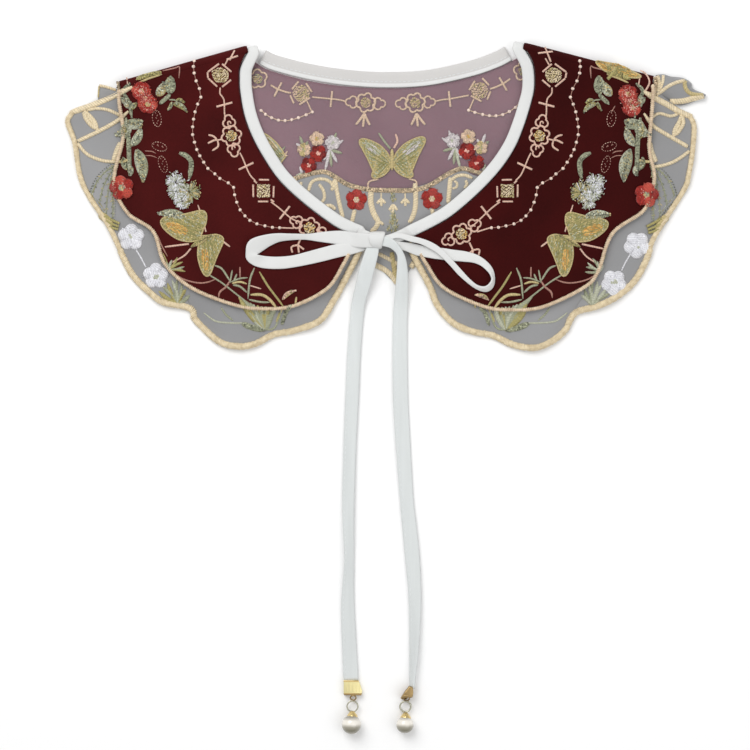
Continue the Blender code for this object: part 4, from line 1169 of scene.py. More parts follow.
def crimpPieces(word):
    if word == "right":
        return [plate("crimpRight", ((409.2, 685.8), (412.6, 686.6), (413.3, 691.0), (412.6, 697.2), (401.0, 697.2), (404.8, 691.4)),
                      0.4 * mm, 7.6 * mm, darkGold, ["crimp_right"], 0.7 * mm),
                plate("crimpFoldRight", ((403.6, 694.6), (412.6, 694.6), (412.4, 696.6), (402.4, 696.6)), 7.3 * mm, 8.0 * mm,
                      darkGold, [])]
    parts = [plate("crimpLeft", ((343.7, 681.0), (358.8, 681.0), (362.1, 690.6), (361.8, 694.8), (343.7, 694.6)), 0.4 * mm,
                   3.3 * mm, paleGold, ["crimp_left"], 0.5 * mm),
             plate("crimpLipLeft", ((343.5, 693.2), (361.9, 693.4), (361.4, 695.6), (344.0, 695.4)), 0.3 * mm, 3.5 * mm, darkGold, []),
             plate("crimpTopLeft", ((343.5, 680.6), (358.6, 680.6), (359.1, 682.2), (343.5, 682.0)), 0.3 * mm, 3.6 * mm, gold, [])]
    for k in range(5):
        across = 346.6 + 3.1 * k
        parts.append(plate(f"crimpRib{k}", ((across, 684.0), (across + 0.7, 684.0), (across + 0.9, 691.6), (across + 0.2, 691.6)),
                           3.1 * mm, 3.5 * mm, paleGold, [], 0.1 * mm))
    return parts


def tieEnds(cords):
    for word, row in drops.items():
        title, right = word.title(), word == "right"
        (ringX, ringY), (px, py), (linkX, linkY) = (place(*row[part]) for part in ("ring", "pearl", "link"))
        radius, capX = row["radius"], place(row["cap"], 0)[0]
        parts = crimpPieces(word)
        parts.append(wireRing(f"ring{title}", (ringX, ringY, 2.6 * mm), 3.25 * mm, 0.55 * mm if right else 0.46 * mm, 0.12, silver,
                              [f"ring_{word}"]))
        parts.append(wireRing(f"linkOf{title}", (linkX, linkY, 2.6 * mm), 1.7 * mm, 0.42 * mm, 0.5, darkGold))
        if right:
            parts.append(wireRing("coilRight", (linkX - 1.5 * mm, linkY + 0.2 * mm, 2.8 * mm), 1.6 * mm, 0.5 * mm, 1.2, darkGold))
        capY = py + radius - 1.5 * mm
        capLong = 3.6 * mm
        profile = [(0, 0), (0, 3.2 * mm), (0.25 * mm, 3.35 * mm), (capLong * 0.35, 2.9 * mm), (capLong * 0.6, 2.2 * mm),
                   (capLong * 0.85, 1.5 * mm), (capLong, 0.9 * mm), (capLong + 0.1 * mm, 0)]
        profile = [(far + 1e-6 * k, wide) for k, (far, wide) in enumerate(profile)]
        parts.append(lathe(f"pearlCap{title}", profile, (capX, capY, radius - 0.6 * mm), (0, 1, 0), gold,
                           [f"pearl_cap_{word}"], petals=8, ruffle=0.1))
        profile = []
        for k in range(27):
            angle = math.pi * k / 26
            flat = 0.94 if k < 13 and right else 1.0
            profile.append((radius * (1 - flat * math.cos(angle)), radius * math.sin(angle)))
        parts.append(lathe(f"pearlBead{title}", profile, (px, py - radius, radius + 0.12 * mm), (0, 1, 0), pearl,
                           [f"pearl_{word}"]))


tieEnds(bowAndTies())
print("bow and ties made")


# embroidery: strips, single stitches and knots of thread, gathered into one mesh per group
def linear(red, green, blue):
    return np.array([((v / 255 + 0.055) / 1.055) ** 2.4 for v in (red, green, blue)])


dyes = {
    "cream": linear(238, 220, 184), "pink": linear(230, 192, 172), "dullPink": linear(178, 132, 118),
    "white": linear(238, 238, 243), "red": linear(166, 42, 33), "deepRed": linear(122, 24, 22), "coral": linear(196, 78, 62),
    "blush": linear(236, 186, 170), "sage": linear(166, 169, 142), "paleSage": linear(192, 194, 172),
    "darkSage": linear(112, 118, 88), "olive": linear(176, 166, 108), "straw": linear(204, 186, 134),
    "gold": linear(236, 194, 112), "amber": linear(216, 164, 84), "mossy": linear(146, 144, 92),
    "backCream": linear(222, 194, 168), "bead": linear(250, 226, 210), "backBorder": linear(212, 190, 158), "backWhite": linear(216, 208, 208), "backRed": linear(176, 66, 58),
}


class Needlework:
    def __init__(self, tree):
        self.tree, self.verts, self.faces, self.uvs, self.dyes = tree, [], [], [], []

    def bed(self, x, y):
        height = castOn(self.tree, x, y)
        if height is None:
            around = [castOn(self.tree, x + 1.6 * mm * a, y + 1.6 * mm * b) for a, b in ((1, 0), (-1, 0), (0, 1), (0, -1))]
            around = [h for h in around if h is not None]
            height = max(around) if around else 0.4 * mm
        return height

    def strip(self, path, halves, high, dye, lengthwise=False, slant=0.0, lift=0.0, ring=7, rise=None):
        # a closed padded band along a plan path, thread by thread across it or lengthwise
        path = np.asarray(path, float)
        count = len(path)
        halves = np.broadcast_to(halves, count)
        along = np.gradient(path, axis=0)
        along /= np.linalg.norm(along, axis=1)[:, None] + 1e-12
        side = np.stack([-along[:, 1], along[:, 0]], axis=1)
        run = np.concatenate([[0], np.cumsum(np.linalg.norm(np.diff(path, axis=0), axis=1))]) / mm
        run += random.random() * 40
        base = np.array([[self.bed(*(p + s * h * u)) for u in (-0.85, 0, 0.85)] for p, s, h in zip(path, side, halves)])
        base[:, 1] = np.maximum(base[:, 1], (base[:, 0] + base[:, 2]) / 2)
        for _ in range(2):
            if count > 2:
                base[1:-1] = (base[:-2] + 2 * base[1:-1] + base[2:]) / 4
        first = len(self.verts)
        most = halves.max()
        dye = np.asarray(dye, float)
        for k in range(count):
            tall = high * min(1.0, 1.25 * halves[k] / most) * (1 if rise is None else rise[k])
            for u in [*np.linspace(-1, 1, ring), 1, -1]:
                low = np.interp(u, (-0.85, 0, 0.85), base[k])
                self.verts.append((*(path[k] + side[k] * halves[k] * u), low + lift + tall * (1 - u * u) ** 0.6))
                across = u * halves[k] / mm
                self.uvs.append((across, run[k]) if lengthwise else (run[k] + slant * across, across))
                self.dyes.append(dye)
            for j in (-2, -1):
                x, y, z = self.verts[j]
                self.verts[j] = (x, y, z - 0.25 * mm)
        around = ring + 2
        for k in range(count - 1):
            low, high2 = first + k * around, first + (k + 1) * around
            for j in range(around):
                n = (j + 1) % around
                self.faces.append((low + j, high2 + j, high2 + n, low + n))
        self.faces.append(tuple(first + j for j in range(around)))
        self.faces.append(tuple(first + (count - 1) * around + j for j in range(around))[::-1])

    def stitch(self, start, end, half, high, dye, lift=0.0):
        # one laid thread with sunk ends
        start, end = np.asarray(start, float), np.asarray(end, float)
        gone = end - start
        length = np.linalg.norm(gone)
        if length < 0.2 * mm:
            return
        along = gone / length
        side = np.array([-along[1], along[0]])
        middle = (start + end) / 2
        level = self.bed(*middle)
        slope = 0.0
        if length > 3 * mm:
            slope = (self.bed(*(start + gone * 0.8)) - self.bed(*(start + gone * 0.2))) / 0.6
        first = len(self.verts)
        offset = random.random() * 60
        dye = np.asarray(dye, float) * random.uniform(0.86, 1.1)
        ends = min(0.28, 0.5 * mm / length + 0.06)
        for share in (0.0, ends, 1 - ends, 1.0):
            z = level + slope * (share - 0.5) + lift
            spot = start + gone * share
            if share in (0.0, 1.0):
                self.verts.append((*spot, z - 0.1 * mm))
                self.uvs.append((offset, length * share / mm))
                self.dyes.append(dye)
                continue
            for u, v in ((-1, -0.25), (-0.55, 0.8), (0.55, 0.8), (1, -0.25)):
                self.verts.append((*(spot + side * half * u), z + high * v))
                self.uvs.append((offset + u * half / mm, length * share / mm))
                self.dyes.append(dye)
        a, b = first, first + 9
        for j in range(4):
            n = (j + 1) % 4
            self.faces.append((a, first + 1 + j, first + 1 + n))
            self.faces.append((first + 1 + j, first + 5 + j, first + 5 + n, first + 1 + n))
            self.faces.append((first + 5 + j, b, first + 5 + n))

    def knot(self, spot, radius, high, dye, lift=0.0, sides=8):
        level = self.bed(*spot) + lift
        first = len(self.verts)
        offset = random.random() * 60
        for reach, rise in ((1.0, -0.12), (0.8, 0.62)):
            for j in range(sides):
                angle = 2 * math.pi * j / sides
                self.verts.append((spot[0] + radius * reach * math.cos(angle), spot[1] + radius * reach * math.sin(angle),
                                   level + high * rise))
                self.uvs.append((offset + radius * reach * math.cos(angle) / mm, radius * reach * math.sin(angle) / mm))
                self.dyes.append(dye)
        self.verts.append((*spot, level + high))
        self.uvs.append((offset, 0))
        self.dyes.append(dye)
        for j in range(sides):
            n = (j + 1) % sides
            self.faces.append((first + j, first + n, first + sides + n, first + sides + j))
            self.faces.append((first + sides + j, first + sides + n, first + 2 * sides))
        self.faces.append(tuple(first + j for j in range(sides))[::-1])

    def fill(self, outline, angle, pitch, dye, high, long=2.6 * mm, lift=0.0, wander=0.35):
        # rows of stitches inside a closed plan outline; dye is one colour or a function of the spot
        outline = np.asarray(outline, float)
        c, s = math.cos(angle), math.sin(angle)
        turned = np.column_stack([outline[:, 0] * c + outline[:, 1] * s, outline[:, 1] * c - outline[:, 0] * s])
        following = np.roll(turned, -1, axis=0)
        row = 0
        y = turned[:, 1].min() + pitch * 0.5
        while y < turned[:, 1].max():
            cuts = sorted(p[0] + (y - p[1]) * (q[0] - p[0]) / (q[1] - p[1]) for p, q in zip(turned, following)
                          if (p[1] > y) != (q[1] > y))
            for x0, x1 in zip(cuts[::2], cuts[1::2]):
                x = x0 - (row % 3) / 3 * long
                while x < x1:
                    one, two = max(x, x0), min(x + long * random.uniform(0.9, 1.1), x1)
                    x += long * 0.94
                    if two - one < 0.3 * mm:
                        continue
                    shift = [random.uniform(-wander, wander) * pitch for _ in range(2)]
                    ends = [(a * c - (y + d) * s, a * s + (y + d) * c) for a, d in ((one, shift[0]), (two, shift[1]))]
                    colour = dye(*ends[0]) if callable(dye) else dye
                    self.stitch(*ends, pitch * 0.62, high, colour, lift)
            y += pitch
            row += 1

    def line(self, table, wide, dye, high=0.4 * mm, taper=(1.0, 1.0), lift=0.0, ring=5, lengthwise=False, placed=False,
             rough=False):
        # a stem in picture units; taper is the share of the width at its two ends
        path = [(x, y) for x, y in table] if placed else [place(a, d) for a, d in table]
        length = float(np.linalg.norm(np.diff(np.array(path), axis=0), axis=1).sum())
        count = max(3, min(60, int(length / (1.1 * mm)) + 2))
        path = smooth(path, count) if len(path) > 2 else resample(path, count)
        share = np.linspace(0, 1, count)
        wide = wide * collar["unit"] / 2 * np.minimum(1, np.minimum(taper[0] + 3.2 * share, taper[1] + 3.2 * (1 - share)))
        self.strip(path, wide, high, dye, ring=ring, slant=0.5, lift=lift, lengthwise=lengthwise)
        if rough:
            self.rough(path, wide, (dye, dye * 1.25, dye * 0.5, dye * 0.75), high * 0.8 + lift)

    def leaf(self, base, tip, wide, dye, bend=0.0, high=0.7 * mm, lift=0.0, dark=None):
        # two rows of slanted satin either side of a midrib
        base, tip = np.array(place(*base)), np.array(place(*tip))
        gone = tip - base
        length = np.linalg.norm(gone)
        normal = np.array([-gone[1], gone[0]]) / length
        count = max(6, int(length / (1.3 * mm)) + 2)
        share = np.linspace(0, 1, count)
        middle = base + gone * share[:, None] + normal * (bend * length * np.sin(math.pi * share))[:, None]
        half = wide * collar["unit"] / 2 * np.maximum(np.sin(math.pi * np.clip(share, 0.02, 0.98) ** 0.85), 0.1) ** 0.75
        along = np.gradient(middle, axis=0)
        along /= np.linalg.norm(along, axis=1)[:, None]
        side = np.stack([-along[:, 1], along[:, 0]], axis=1)
        for hand in (1, -1):
            self.strip(middle + side * (half * 0.5 * hand)[:, None], half * 0.52, high, dye if hand > 0 or dark is None else dark,
                       slant=hand * 0.9, lift=lift, ring=5)
        self.rough(middle, half, (dye, dye * 1.35, dyes["straw"] * 0.9, dye * 0.45, dye * 0.6 if dark is None else dark * 0.6), high * 0.8 + lift)

    def rough(self, path, halves, colours, lift, density=1.7):
        # short crossing stitches over padded work, so that its thread shows and its edge is uneven
        for k in range(len(path) - 1):
            gone = path[k + 1] - path[k]
            length = np.linalg.norm(gone)
            along = gone / (length + 1e-9)
            side = np.array([-along[1], along[0]])
            for _ in range(max(1, round(length / mm * density * (0.6 + 1.5 * halves[k] / mm)))):
                u = random.uniform(-1, 1)
                half = halves[k] * (1 - 0.12 * abs(u))
                lean = random.uniform(-0.3, 0.7)
                reach = min(random.uniform(0.8, 1.7) * mm, halves[k] * (1.2 - abs(u)) + 0.8 * mm)
                start = path[k] + gone * random.random() + side * half * u
                out = (along * lean + side * (1 if u > 0 else -1)) / math.hypot(lean, 1)
                self.stitch(start - out * reach * 0.65, start + out * reach * 0.35, 0.48 * mm, 0.62 * mm,
                            np.asarray(random.choice(colours)) * random.choice((0.52, 0.78, 1.0, 1.12, 1.34)),
                            lift * (1 - u * u) ** 0.6)

    def pad(self, outline, high, dye, lift=0.0):
        # a closed low plate under stitches
        outline = np.asarray(outline, float)
        if np.sum(outline[:, 0] * np.roll(outline[:, 1], -1) - outline[:, 1] * np.roll(outline[:, 0], -1)) < 0:
            outline = outline[::-1]
        first, count, middle = len(self.verts), len(outline), outline.mean(axis=0)
        levels = [self.bed(*spot) for spot in outline]
        for reach, rise in ((1.0, -0.12 * mm), (1.0, high * 0.45), (0.86, high)):
            for spot, level in zip(outline, levels):
                x, y = middle + (spot - middle) * reach
                level = level if reach == 1.0 else self.bed(x, y)
                self.verts.append((x, y, level + lift + rise))
        level = self.bed(*middle) + lift
        self.verts += [(*middle, level + high), (*middle, level - 0.12 * mm)]
        for x, y, _ in self.verts[first:]:
            self.uvs.append((x / mm, y / mm))
            self.dyes.append(dye)
        for j in range(count):
            n = (j + 1) % count
            for low, high2 in ((0, count), (count, 2 * count)):
                self.faces.append((first + low + j, first + low + n, first + high2 + n, first + high2 + j))
            self.faces.append((first + 2 * count + j, first + 2 * count + n, first + 3 * count))
            self.faces.append((first + n, first + j, first + 3 * count + 1))

    def made(self, name, slot, material, replaced=()):
        piece = newPiece(name, self.verts, self.faces, material, self.uvs, self.dyes)
        if replaced:
            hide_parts(*replaced)
        return piece


def ringOf(spot, radius, lobes, depth, turn=0.0, count=40, squash=(1.0, 1.0)):
    # a scalloped closed outline round a spot
    angle = np.linspace(0, 2 * math.pi, count, endpoint=False)
    reach = radius * (1 - depth * (1 - np.abs(np.cos(lobes * (angle - turn) / 2)) ** 0.8))
    return np.column_stack([spot[0] + reach * np.cos(angle) * squash[0], spot[1] + reach * np.sin(angle) * squash[1]])


def closedLine(work, outline, wide, dye, high=0.4 * mm, lift=0.0):
    # a stem laid along a closed outline
    loop = np.vstack([outline, outline[:1]])
    work.strip(loop, wide * collar["unit"] / 2, high, dye, ring=5, slant=0.5, lift=lift)


class Side:
    # puts a motif of the left front on either side of the collar
    def __init__(self, word):
        self.word, self.left = word, word == "Left"

    def at(self, across, down):
        if self.left:
            return across, down
        share = min(max((across - 131) / 60, 0), 1)
        lower = 4.5 * min(max((down - 190) / 50, 0), 1) * (1 - share) + 6 * min(max((down - 213) / 12, 0), 1) * min(max((across - 285) / 15, 0), 1)
        outward = 3 * min(max((100 - down) / 25, 0), 1) * min(max((across - 180) / 15, 0), 1)
        return 766.3 + 4.6 * share + outward - across, down + lower

    def path(self, table):
        return [self.at(*p) for p in table]

    def turned(self, angle):
        return angle if self.left else math.pi - angle


def vary(*names):
    choices = [dyes[name] for name in names]
    return lambda x=0, y=0: random.choice(choices)


# the chain round the neck, in picture units
chain = {
    "topCross": {"Left": (((227, 60.4), (238.4, 56.6)), ((235, 51), (230, 61))),
                 "Right": (((537.6, 54), (552.4, 52.2)), ((544.6, 47.6), (550.4, 62.6)))},
    "lowClaw": (((301.6, 236.6), (298, 245)), ((298, 245), (291.6, 247), (292.4, 252.6)), ((298, 245), (299, 253)), ((298, 245), (304, 249.6))),
    "rosette": (220.7, 75.7), "crosses": ((224.5, 104.8, 15), (246.2, 166.3, 25), (284.8, 212.7, 52)),
    "triples": ((231.5, 136, 80), (309.5, 227.9, 25)), "square": (263.6, 191),
    "link": (((229, 59), (225, 66)), ((220.5, 88), (220.2, 94), (224, 100), (224.6, 113), (225.2, 118)),
             ((240, 153), (243, 159), (249.5, 174), (255.5, 181)), ((271, 202), (279, 208), (290, 217.5), (299, 222.5)),
             ((281, 227.9), (294, 228.4))),
    "sprig": (217.6, 140.4),
    "beads": ((194.6, 61.7), (193.9, 67.4), (194.6, 73.8), (196.5, 81.5), (199.7, 89), (201, 97.4), (197.8, 104.4),
              (195.2, 112), (193.7, 119.3), (192.7, 127), (192.7, 134.8), (194.6, 142.4), (196.9, 149.7), (199.9, 156),
              (203.8, 162.4), (208, 168.6), (215, 174), (220, 178.6), (228.4, 183), (233.7, 187.6), (234.7, 195),
              (236.9, 202.4), (240.2, 210), (245, 216), (250, 220.5), (257, 224), (265, 226), (272.5, 227.5),
              (279.6, 227.9)),
}


def filledRound(work, spot, radius, names, squash=(1.0, 1.0)):
    outline = ringOf(spot, radius, 5, 0.12, 0.4, squash=squash)
    work.fill(outline, 0.9, 0.52 * mm, vary(*names), 0.34 * mm, long=1.9 * mm, wander=0.8)
    for _ in range(int(radius / mm * 3)):
        angle, reach = random.uniform(0, 2 * math.pi), radius * random.uniform(0, 0.7)
        a = np.array((spot[0] + reach * math.cos(angle), spot[1] + reach * math.sin(angle)))
        turn = random.uniform(0, math.pi)
        work.stitch(a, a + 1.3 * mm * np.array((math.cos(turn), math.sin(turn))), 0.24 * mm, 0.3 * mm, vary(*names)(), 0.3 * mm)


def tripleFlower(work, side, across, down, lean, dye):
    # a large flower between two small ones, in outline, with a filled heart
    spot = place(*side.at(across, down))
    unit = collar["unit"]
    closedLine(work, ringOf(spot, 10.2 * unit, 6, 0.3, 0.3, 48), 1.9, dye)
    filledRound(work, spot, 6 * unit, ("cream", "straw", "cream", "gold"))
    angle = math.radians(lean)
    for hand in (-1, 1):
        far = 14.5 * hand
        small = place(*side.at(across + far * math.cos(angle), down + far * math.sin(angle)))
        closedLine(work, ringOf(small, 6.6 * unit, 3, 0.42, side.turned(-angle) + (0 if hand > 0 else math.pi), 30), 1.8, dye)
        heart = place(*side.at(across + far * 0.86 * math.cos(angle), down + far * 0.86 * math.sin(angle)))
        work.strip(ringOf(heart, 2.2 * unit, 2, 0.5, side.turned(-angle), 12)[:9], 0.45 * mm, 0.35 * mm, dye, ring=5)


def chainFor(word):
    side, unit = Side(word), collar["unit"]
    work = Needlework(frontTree)
    pink = dyes["pink"]
    spot = place(*side.at(*chain["rosette"]))
    filledRound(work, spot, 8.6 * unit, ("cream", "cream", "straw"), (1.0, 0.94))
    for ends in (((-12.5, -3), (-1.2, -11.2)), ((1.8, -11), (11, -3.2)), ((-12.2, 3.2), (-3.2, 11.4)),
                 ((1.6, 11.6), (10.6, 4.6)), ((-12.8, -2.6), (-12.4, 2.8))):
        work.line([side.at(chain["rosette"][0] + a, chain["rosette"][1] + b) for a, b in ends], 1.9, pink)
    across, down = chain["square"]
    spot = np.array(place(*side.at(across, down)))
    corners = [spot + np.array(c) * 6.6 * unit for c in ((-1, -1), (1, -1), (1, 1), (-1, 1))]
    work.fill(corners, 0.7, 0.52 * mm, vary("cream", "cream", "straw"), 0.36 * mm, long=1.9 * mm, wander=0.8)
    for ends in (((-4.6, -11.2), (5.6, -11.0)), ((-5.6, 10.6), (4.8, 10.6)), ((-10.4, -6.4), (-10.2, 6.2)),
                 ((10.2, -4.8), (9.8, 6.6)), ((-9.6, -10.4), (-6.6, -7.6)), ((7.2, 8.6), (10.6, 11.2))):
        work.line([side.at(across + a, down + b) for a, b in ends], 1.8, pink)
    for across, down, lean in chain["crosses"]:
        angle = math.radians(-lean)
        c, s = math.cos(angle) * 8.2, math.sin(angle) * 8.2
        work.line([side.at(across - c, down - s), side.at(across + c, down + s)], 2.1, pink)
    for table in chain["link"]:
        work.line(side.path(table), 1.5, pink, high=0.32 * mm)
    for across, down, lean in chain["triples"]:
        tripleFlower(work, side, across, down, lean, pink)
    across, down = chain["sprig"]
    for a, b, c, d in ((-9, -5.4, -4, -4), (-9.6, 3, -3.4, 0), (-5.2, 10.4, 0.6, 6)):
        work.line(side.path(((across, down), (across + c, down + d), (across + a, down + b))), 2.0, pink, taper=(0.5, 0.8))
    work.line(side.path(((across, down), (across + 5, down - 1.2))), 1.6, pink)
    for ends in chain["topCross"][word] + tuple(side.path(e) for e in chain["lowClaw"]):
        work.line(ends, 1.9, pink)
    beads = side.path(chain["beads"])
    for k, spot in enumerate(beads):
        work.knot(place(*spot), 1.8 * unit, 0.95 * mm, dyes["bead"])
        if k:
            before = beads[k - 1]
            ends = [(before[0] * (1 - t) + spot[0] * t, before[1] * (1 - t) + spot[1] * t) for t in (0.2, 0.8)]
            work.line(ends, 0.8, dyes["dullPink"], high=0.18 * mm)
    work.made(f"neckChain{word}", "cream_thread", satin)


random.seed(11)
for word in ("Left", "Right"):
    chainFor(word)
print("neck chains made")


# flowers, butterflies and foliage; tables are for the left front, in picture units
def petalFlower(work, spot, radius, names, heart, pale=None, petals=5, turn=0.3, squash=(1.0, 1.0), high=0.8 * mm, lift=0.1 * mm,
                ragged=1.0, plump=0.5):
    # padded petals of satin stitch round a heart of knots
    spot, squash = np.array(spot), np.array(squash)
    for k in range(petals):
        angle = turn + 2 * math.pi * k / petals
        out = np.array((math.cos(angle), math.sin(angle)))
        share = np.linspace(0, 1, 9)
        path = spot + np.outer(radius * (0.2 + 0.8 * share), out) * squash
        half = radius * plump * np.sin(math.pi * (0.16 + 0.80 * share)) ** 0.55 * math.hypot(out[1] * squash[0], out[0] * squash[1])
        colour = dyes[names[k % len(names)]] * random.uniform(0.94, 1.05)
        work.strip(path, half, high, colour, slant=0.7 * (-1) ** k, ring=7, lift=lift)
        for _ in range(int(18 * ragged)):
            at, u = random.uniform(0.3, 0.92), random.uniform(-0.8, 0.8)
            spread = np.array((-out[1], out[0])) * u * radius * 0.5
            begin = spot + (out * radius * at + spread) * squash
            work.stitch(begin - out * 0.5 * mm, begin + (out + 0.5 * u * np.array((-out[1], out[0]))) * 0.7 * mm, 0.27 * mm, 0.32 * mm,
                        colour * random.choice((0.62, 0.8, 1.15, 1.35)), lift + high * 0.86 * (1 - 0.6 * u * u))
    if pale:
        for k in range(petals * 5):
            angle = turn + 2 * math.pi * (k + random.uniform(-0.3, 0.3)) / (petals * 5)
            out = np.array((math.cos(angle), math.sin(angle))) * squash
            a, b = random.uniform(0.3, 0.5), random.uniform(0.6, 0.85)
            work.stitch(spot + out * radius * a, spot + out * radius * b, 0.2 * mm, 0.3 * mm, dyes[pale], lift + high * 0.75)
    for k in range(7):
        angle = 2 * math.pi * k / 6
        reach = 0 if k == 6 else radius * 0.19
        work.knot(spot + reach * np.array((math.cos(angle), math.sin(angle))) * squash, radius * 0.13, 0.55 * mm,
                  vary(*heart)(), lift + high * 0.55)


def whiteFlowersFor(word):
    side, unit = Side(word), collar["unit"]
    work = Needlework(frontTree)
    spots = ((131, 237.2, 13.4), (155.7, 275.8, 13.0)) if side.left else ((637.2, 245, 13.4), (614.2, 282.6, 13.0))
    for across, down, radius in spots:
        spot = place(across, down)
        petalFlower(work, spot, radius * unit, ("white",), ("white", "white", "paleSage"), turn=0.3 if side.left else 0.9, high=1.0 * mm,
                    ragged=0.3)
        for k in range(22):
            angle = 2 * math.pi * k / 22
            out = np.array((math.cos(angle), math.sin(angle)))
            work.stitch(np.array(spot) + out * radius * unit * 0.34, np.array(spot) + out * radius * unit * 0.72, 0.2 * mm,
                        0.3 * mm, dyes["white"], 1.0 * mm)
    work.line(side.path(((136, 250), (141, 258), (145.6, 267))), 1.5, dyes["white"])
    work.made(f"whiteFlowers{word}", "white_thread", satin,
              [f"flower_white_upper_{word.lower()}", f"flower_white_lower_{word.lower()}"])


def redFlowersFor(word):
    side, unit = Side(word), collar["unit"]
    work = Needlework(borderTree(word))
    spot = place(121.8, 188) if side.left else place(646.6, 195)
    petalFlower(work, spot, 12.4 * unit, ("red", "coral", "red", "red", "coral"), ("straw", "sage"), "coral",
                turn=0.5 if side.left else 0.1, high=0.9 * mm, lift=0.9 * mm, ragged=2.0)
    main = spot
    pair = ((141.8, 91.8), (145.4, 98.4), (148.2, 104.6)) if side.left else ((627.4, 94.8), (629.6, 101.2), (631.4, 107.6))
    for k, (across, down) in enumerate(((0, 0), *pair)):
        spot = place(across, down) if k else main
        if k:
            petalFlower(work, spot, (0, 10.2, 8.6, 10.2)[k] * unit, ("red", "red", "coral"), ("blush", "straw"), "blush", petals=6,
                        turn=random.uniform(0, 1), squash=(0.96, 0.92), high=0.85 * mm, ragged=2.0)
        for _ in range(26 if k else 34):
            angle, reach = random.uniform(0, 2 * math.pi), random.uniform(0.1, 0.95) * (9.4 if k else 11.0) * unit
            a = np.array(spot) + reach * np.array((math.cos(angle), math.sin(angle) * 0.86))
            turn = random.uniform(0, math.pi)
            work.stitch(a, a + 1.2 * mm * np.array((math.cos(turn), math.sin(turn))), 0.22 * mm, 0.3 * mm,
                        vary("blush", "coral", "blush", "deepRed")(), 0.85 * mm if k else 1.75 * mm)
    work.made(f"redFlowers{word}", "red_thread", satin, [f"flower_red_{word.lower()}", f"flower_red_shoulder_{word.lower()}"])


def asterFor(word):
    # a ragged many-petalled flower, white to one side and green to the other
    side, unit = Side(word), collar["unit"]
    work = Needlework(frontTree)
    centre = np.array(place(*side.at(183.4, 190.6)))
    hand = 1 if side.left else -1
    lobes = ((-8, 8, 10.5), (6, -2, 12), (-1, -11, 9.5), (-7, -1, 10))
    for row in range(4):
        for a, b, radius in lobes:
            spot = centre + np.array((a * hand, b)) * unit
            for _ in range(26):
                angle = random.uniform(0, 2 * math.pi)
                out = np.array((math.cos(angle), math.sin(angle)))
                begin = spot + out * radius * unit * random.uniform(0.0, 0.45)
                end = spot + out * radius * unit * random.uniform(0.62, 1.0)
                gone = (end - centre) / unit
                green = gone[0] * hand * 0.9 - abs(gone[1] + 1) * 0.35 + random.uniform(-5, 5)
                colour = vary("white", "white", "paleSage") if green < -1.5 else vary("paleSage", "white", "straw") if green < 4 \
                    else vary("olive", "straw", "sage", "mossy")
                work.stitch(begin, end, 0.3 * mm, 0.42 * mm, colour(), row * 0.22 * mm)
    for _ in range(230):
        lobe = random.choice(lobes)
        angle, reach = random.uniform(0, 2 * math.pi), lobe[2] * unit * math.sqrt(random.random())
        spot = centre + np.array((lobe[0] * hand, lobe[1])) * unit + reach * np.array((math.cos(angle), math.sin(angle)))
        gone = (spot - centre) / unit
        green = gone[0] * hand * 0.9 - abs(gone[1] + 1) * 0.35 + random.uniform(-5, 5)
        turn = random.uniform(0, math.pi)
        colour = vary("white", "paleSage", "sage") if green < 1 else vary("olive", "straw", "sage", "darkSage", "paleSage")
        work.stitch(spot, spot + 1.5 * mm * np.array((math.cos(turn), math.sin(turn))), 0.3 * mm, 0.4 * mm, colour(), 0.9 * mm)
    work.made(f"aster{word}", "white_thread", satin, [f"aster_{word.lower()}"])


wing = ((0.0, -0.02), (0.22, -0.12), (0.5, -0.13), (0.76, -0.04), (0.94, 0.08), (1.0, 0.2), (0.93, 0.3), (0.74, 0.38), (0.52, 0.47),
        (0.3, 0.58), (0.12, 0.66), (0.0, 0.62), (-0.05, 0.42), (-0.02, 0.2))


def wingOf(work, root, tip, hand, wide=1.0, names=("olive", "straw", "olive", "straw", "mossy", "paleSage"), patch=("gold", "amber"), high=0.5 * mm,
           edge="straw", lift=0.1 * mm):
    # one wing: short mixed stitches, a bright patch, veins and a rolled edge
    root, tip = np.array(place(*root)), np.array(place(*tip))
    along = tip - root
    over = np.array((-along[1], along[0])) * hand * wide
    spots = [root + along * a + over * b for a, b in wing]
    outline = smooth(np.array(spots + spots[:1]), 60)[:-1]
    heading = math.atan2(along[1], along[0])
    # the pad shows only in the gaps between the stitches and is a darker copy of the first thread colour: painted shade
    # in the gaps
    work.pad(outline, high * 0.7, dyes[names[0]] * 0.8, lift)
    work.fill(outline, heading + 0.25 * hand, 0.6 * mm, vary(*names), high, long=1.9 * mm, wander=0.8, lift=lift + high * 0.3)
    if patch:
        inner = [root + along * a + over * b for a, b in ((0.34, 0.0), (0.6, 0.0), (0.84, 0.1), (0.86, 0.19), (0.66, 0.24), (0.4, 0.2),
                                                          (0.3, 0.1))]
        inner = smooth(np.array(inner + inner[:1]), 30)[:-1]
        work.fill(inner, heading, 0.55 * mm, vary(*patch), high, long=3.4 * mm, wander=0.3, lift=lift + 0.3 * mm)
    for b in (0.1, 0.27, 0.44):
        a = np.linspace(0.08, 0.86 - b * 0.9, 6)[:, None]
        vein = root + along * a + over * (b * (0.5 + 0.7 * a))
        work.strip(vein, 0.3 * mm, 0.32 * mm, dyes["mossy"], ring=5, lift=lift + 0.45 * mm)
    closedLine(work, outline, 1.6, dyes[edge], high=0.5 * mm, lift=lift + 0.12 * mm)


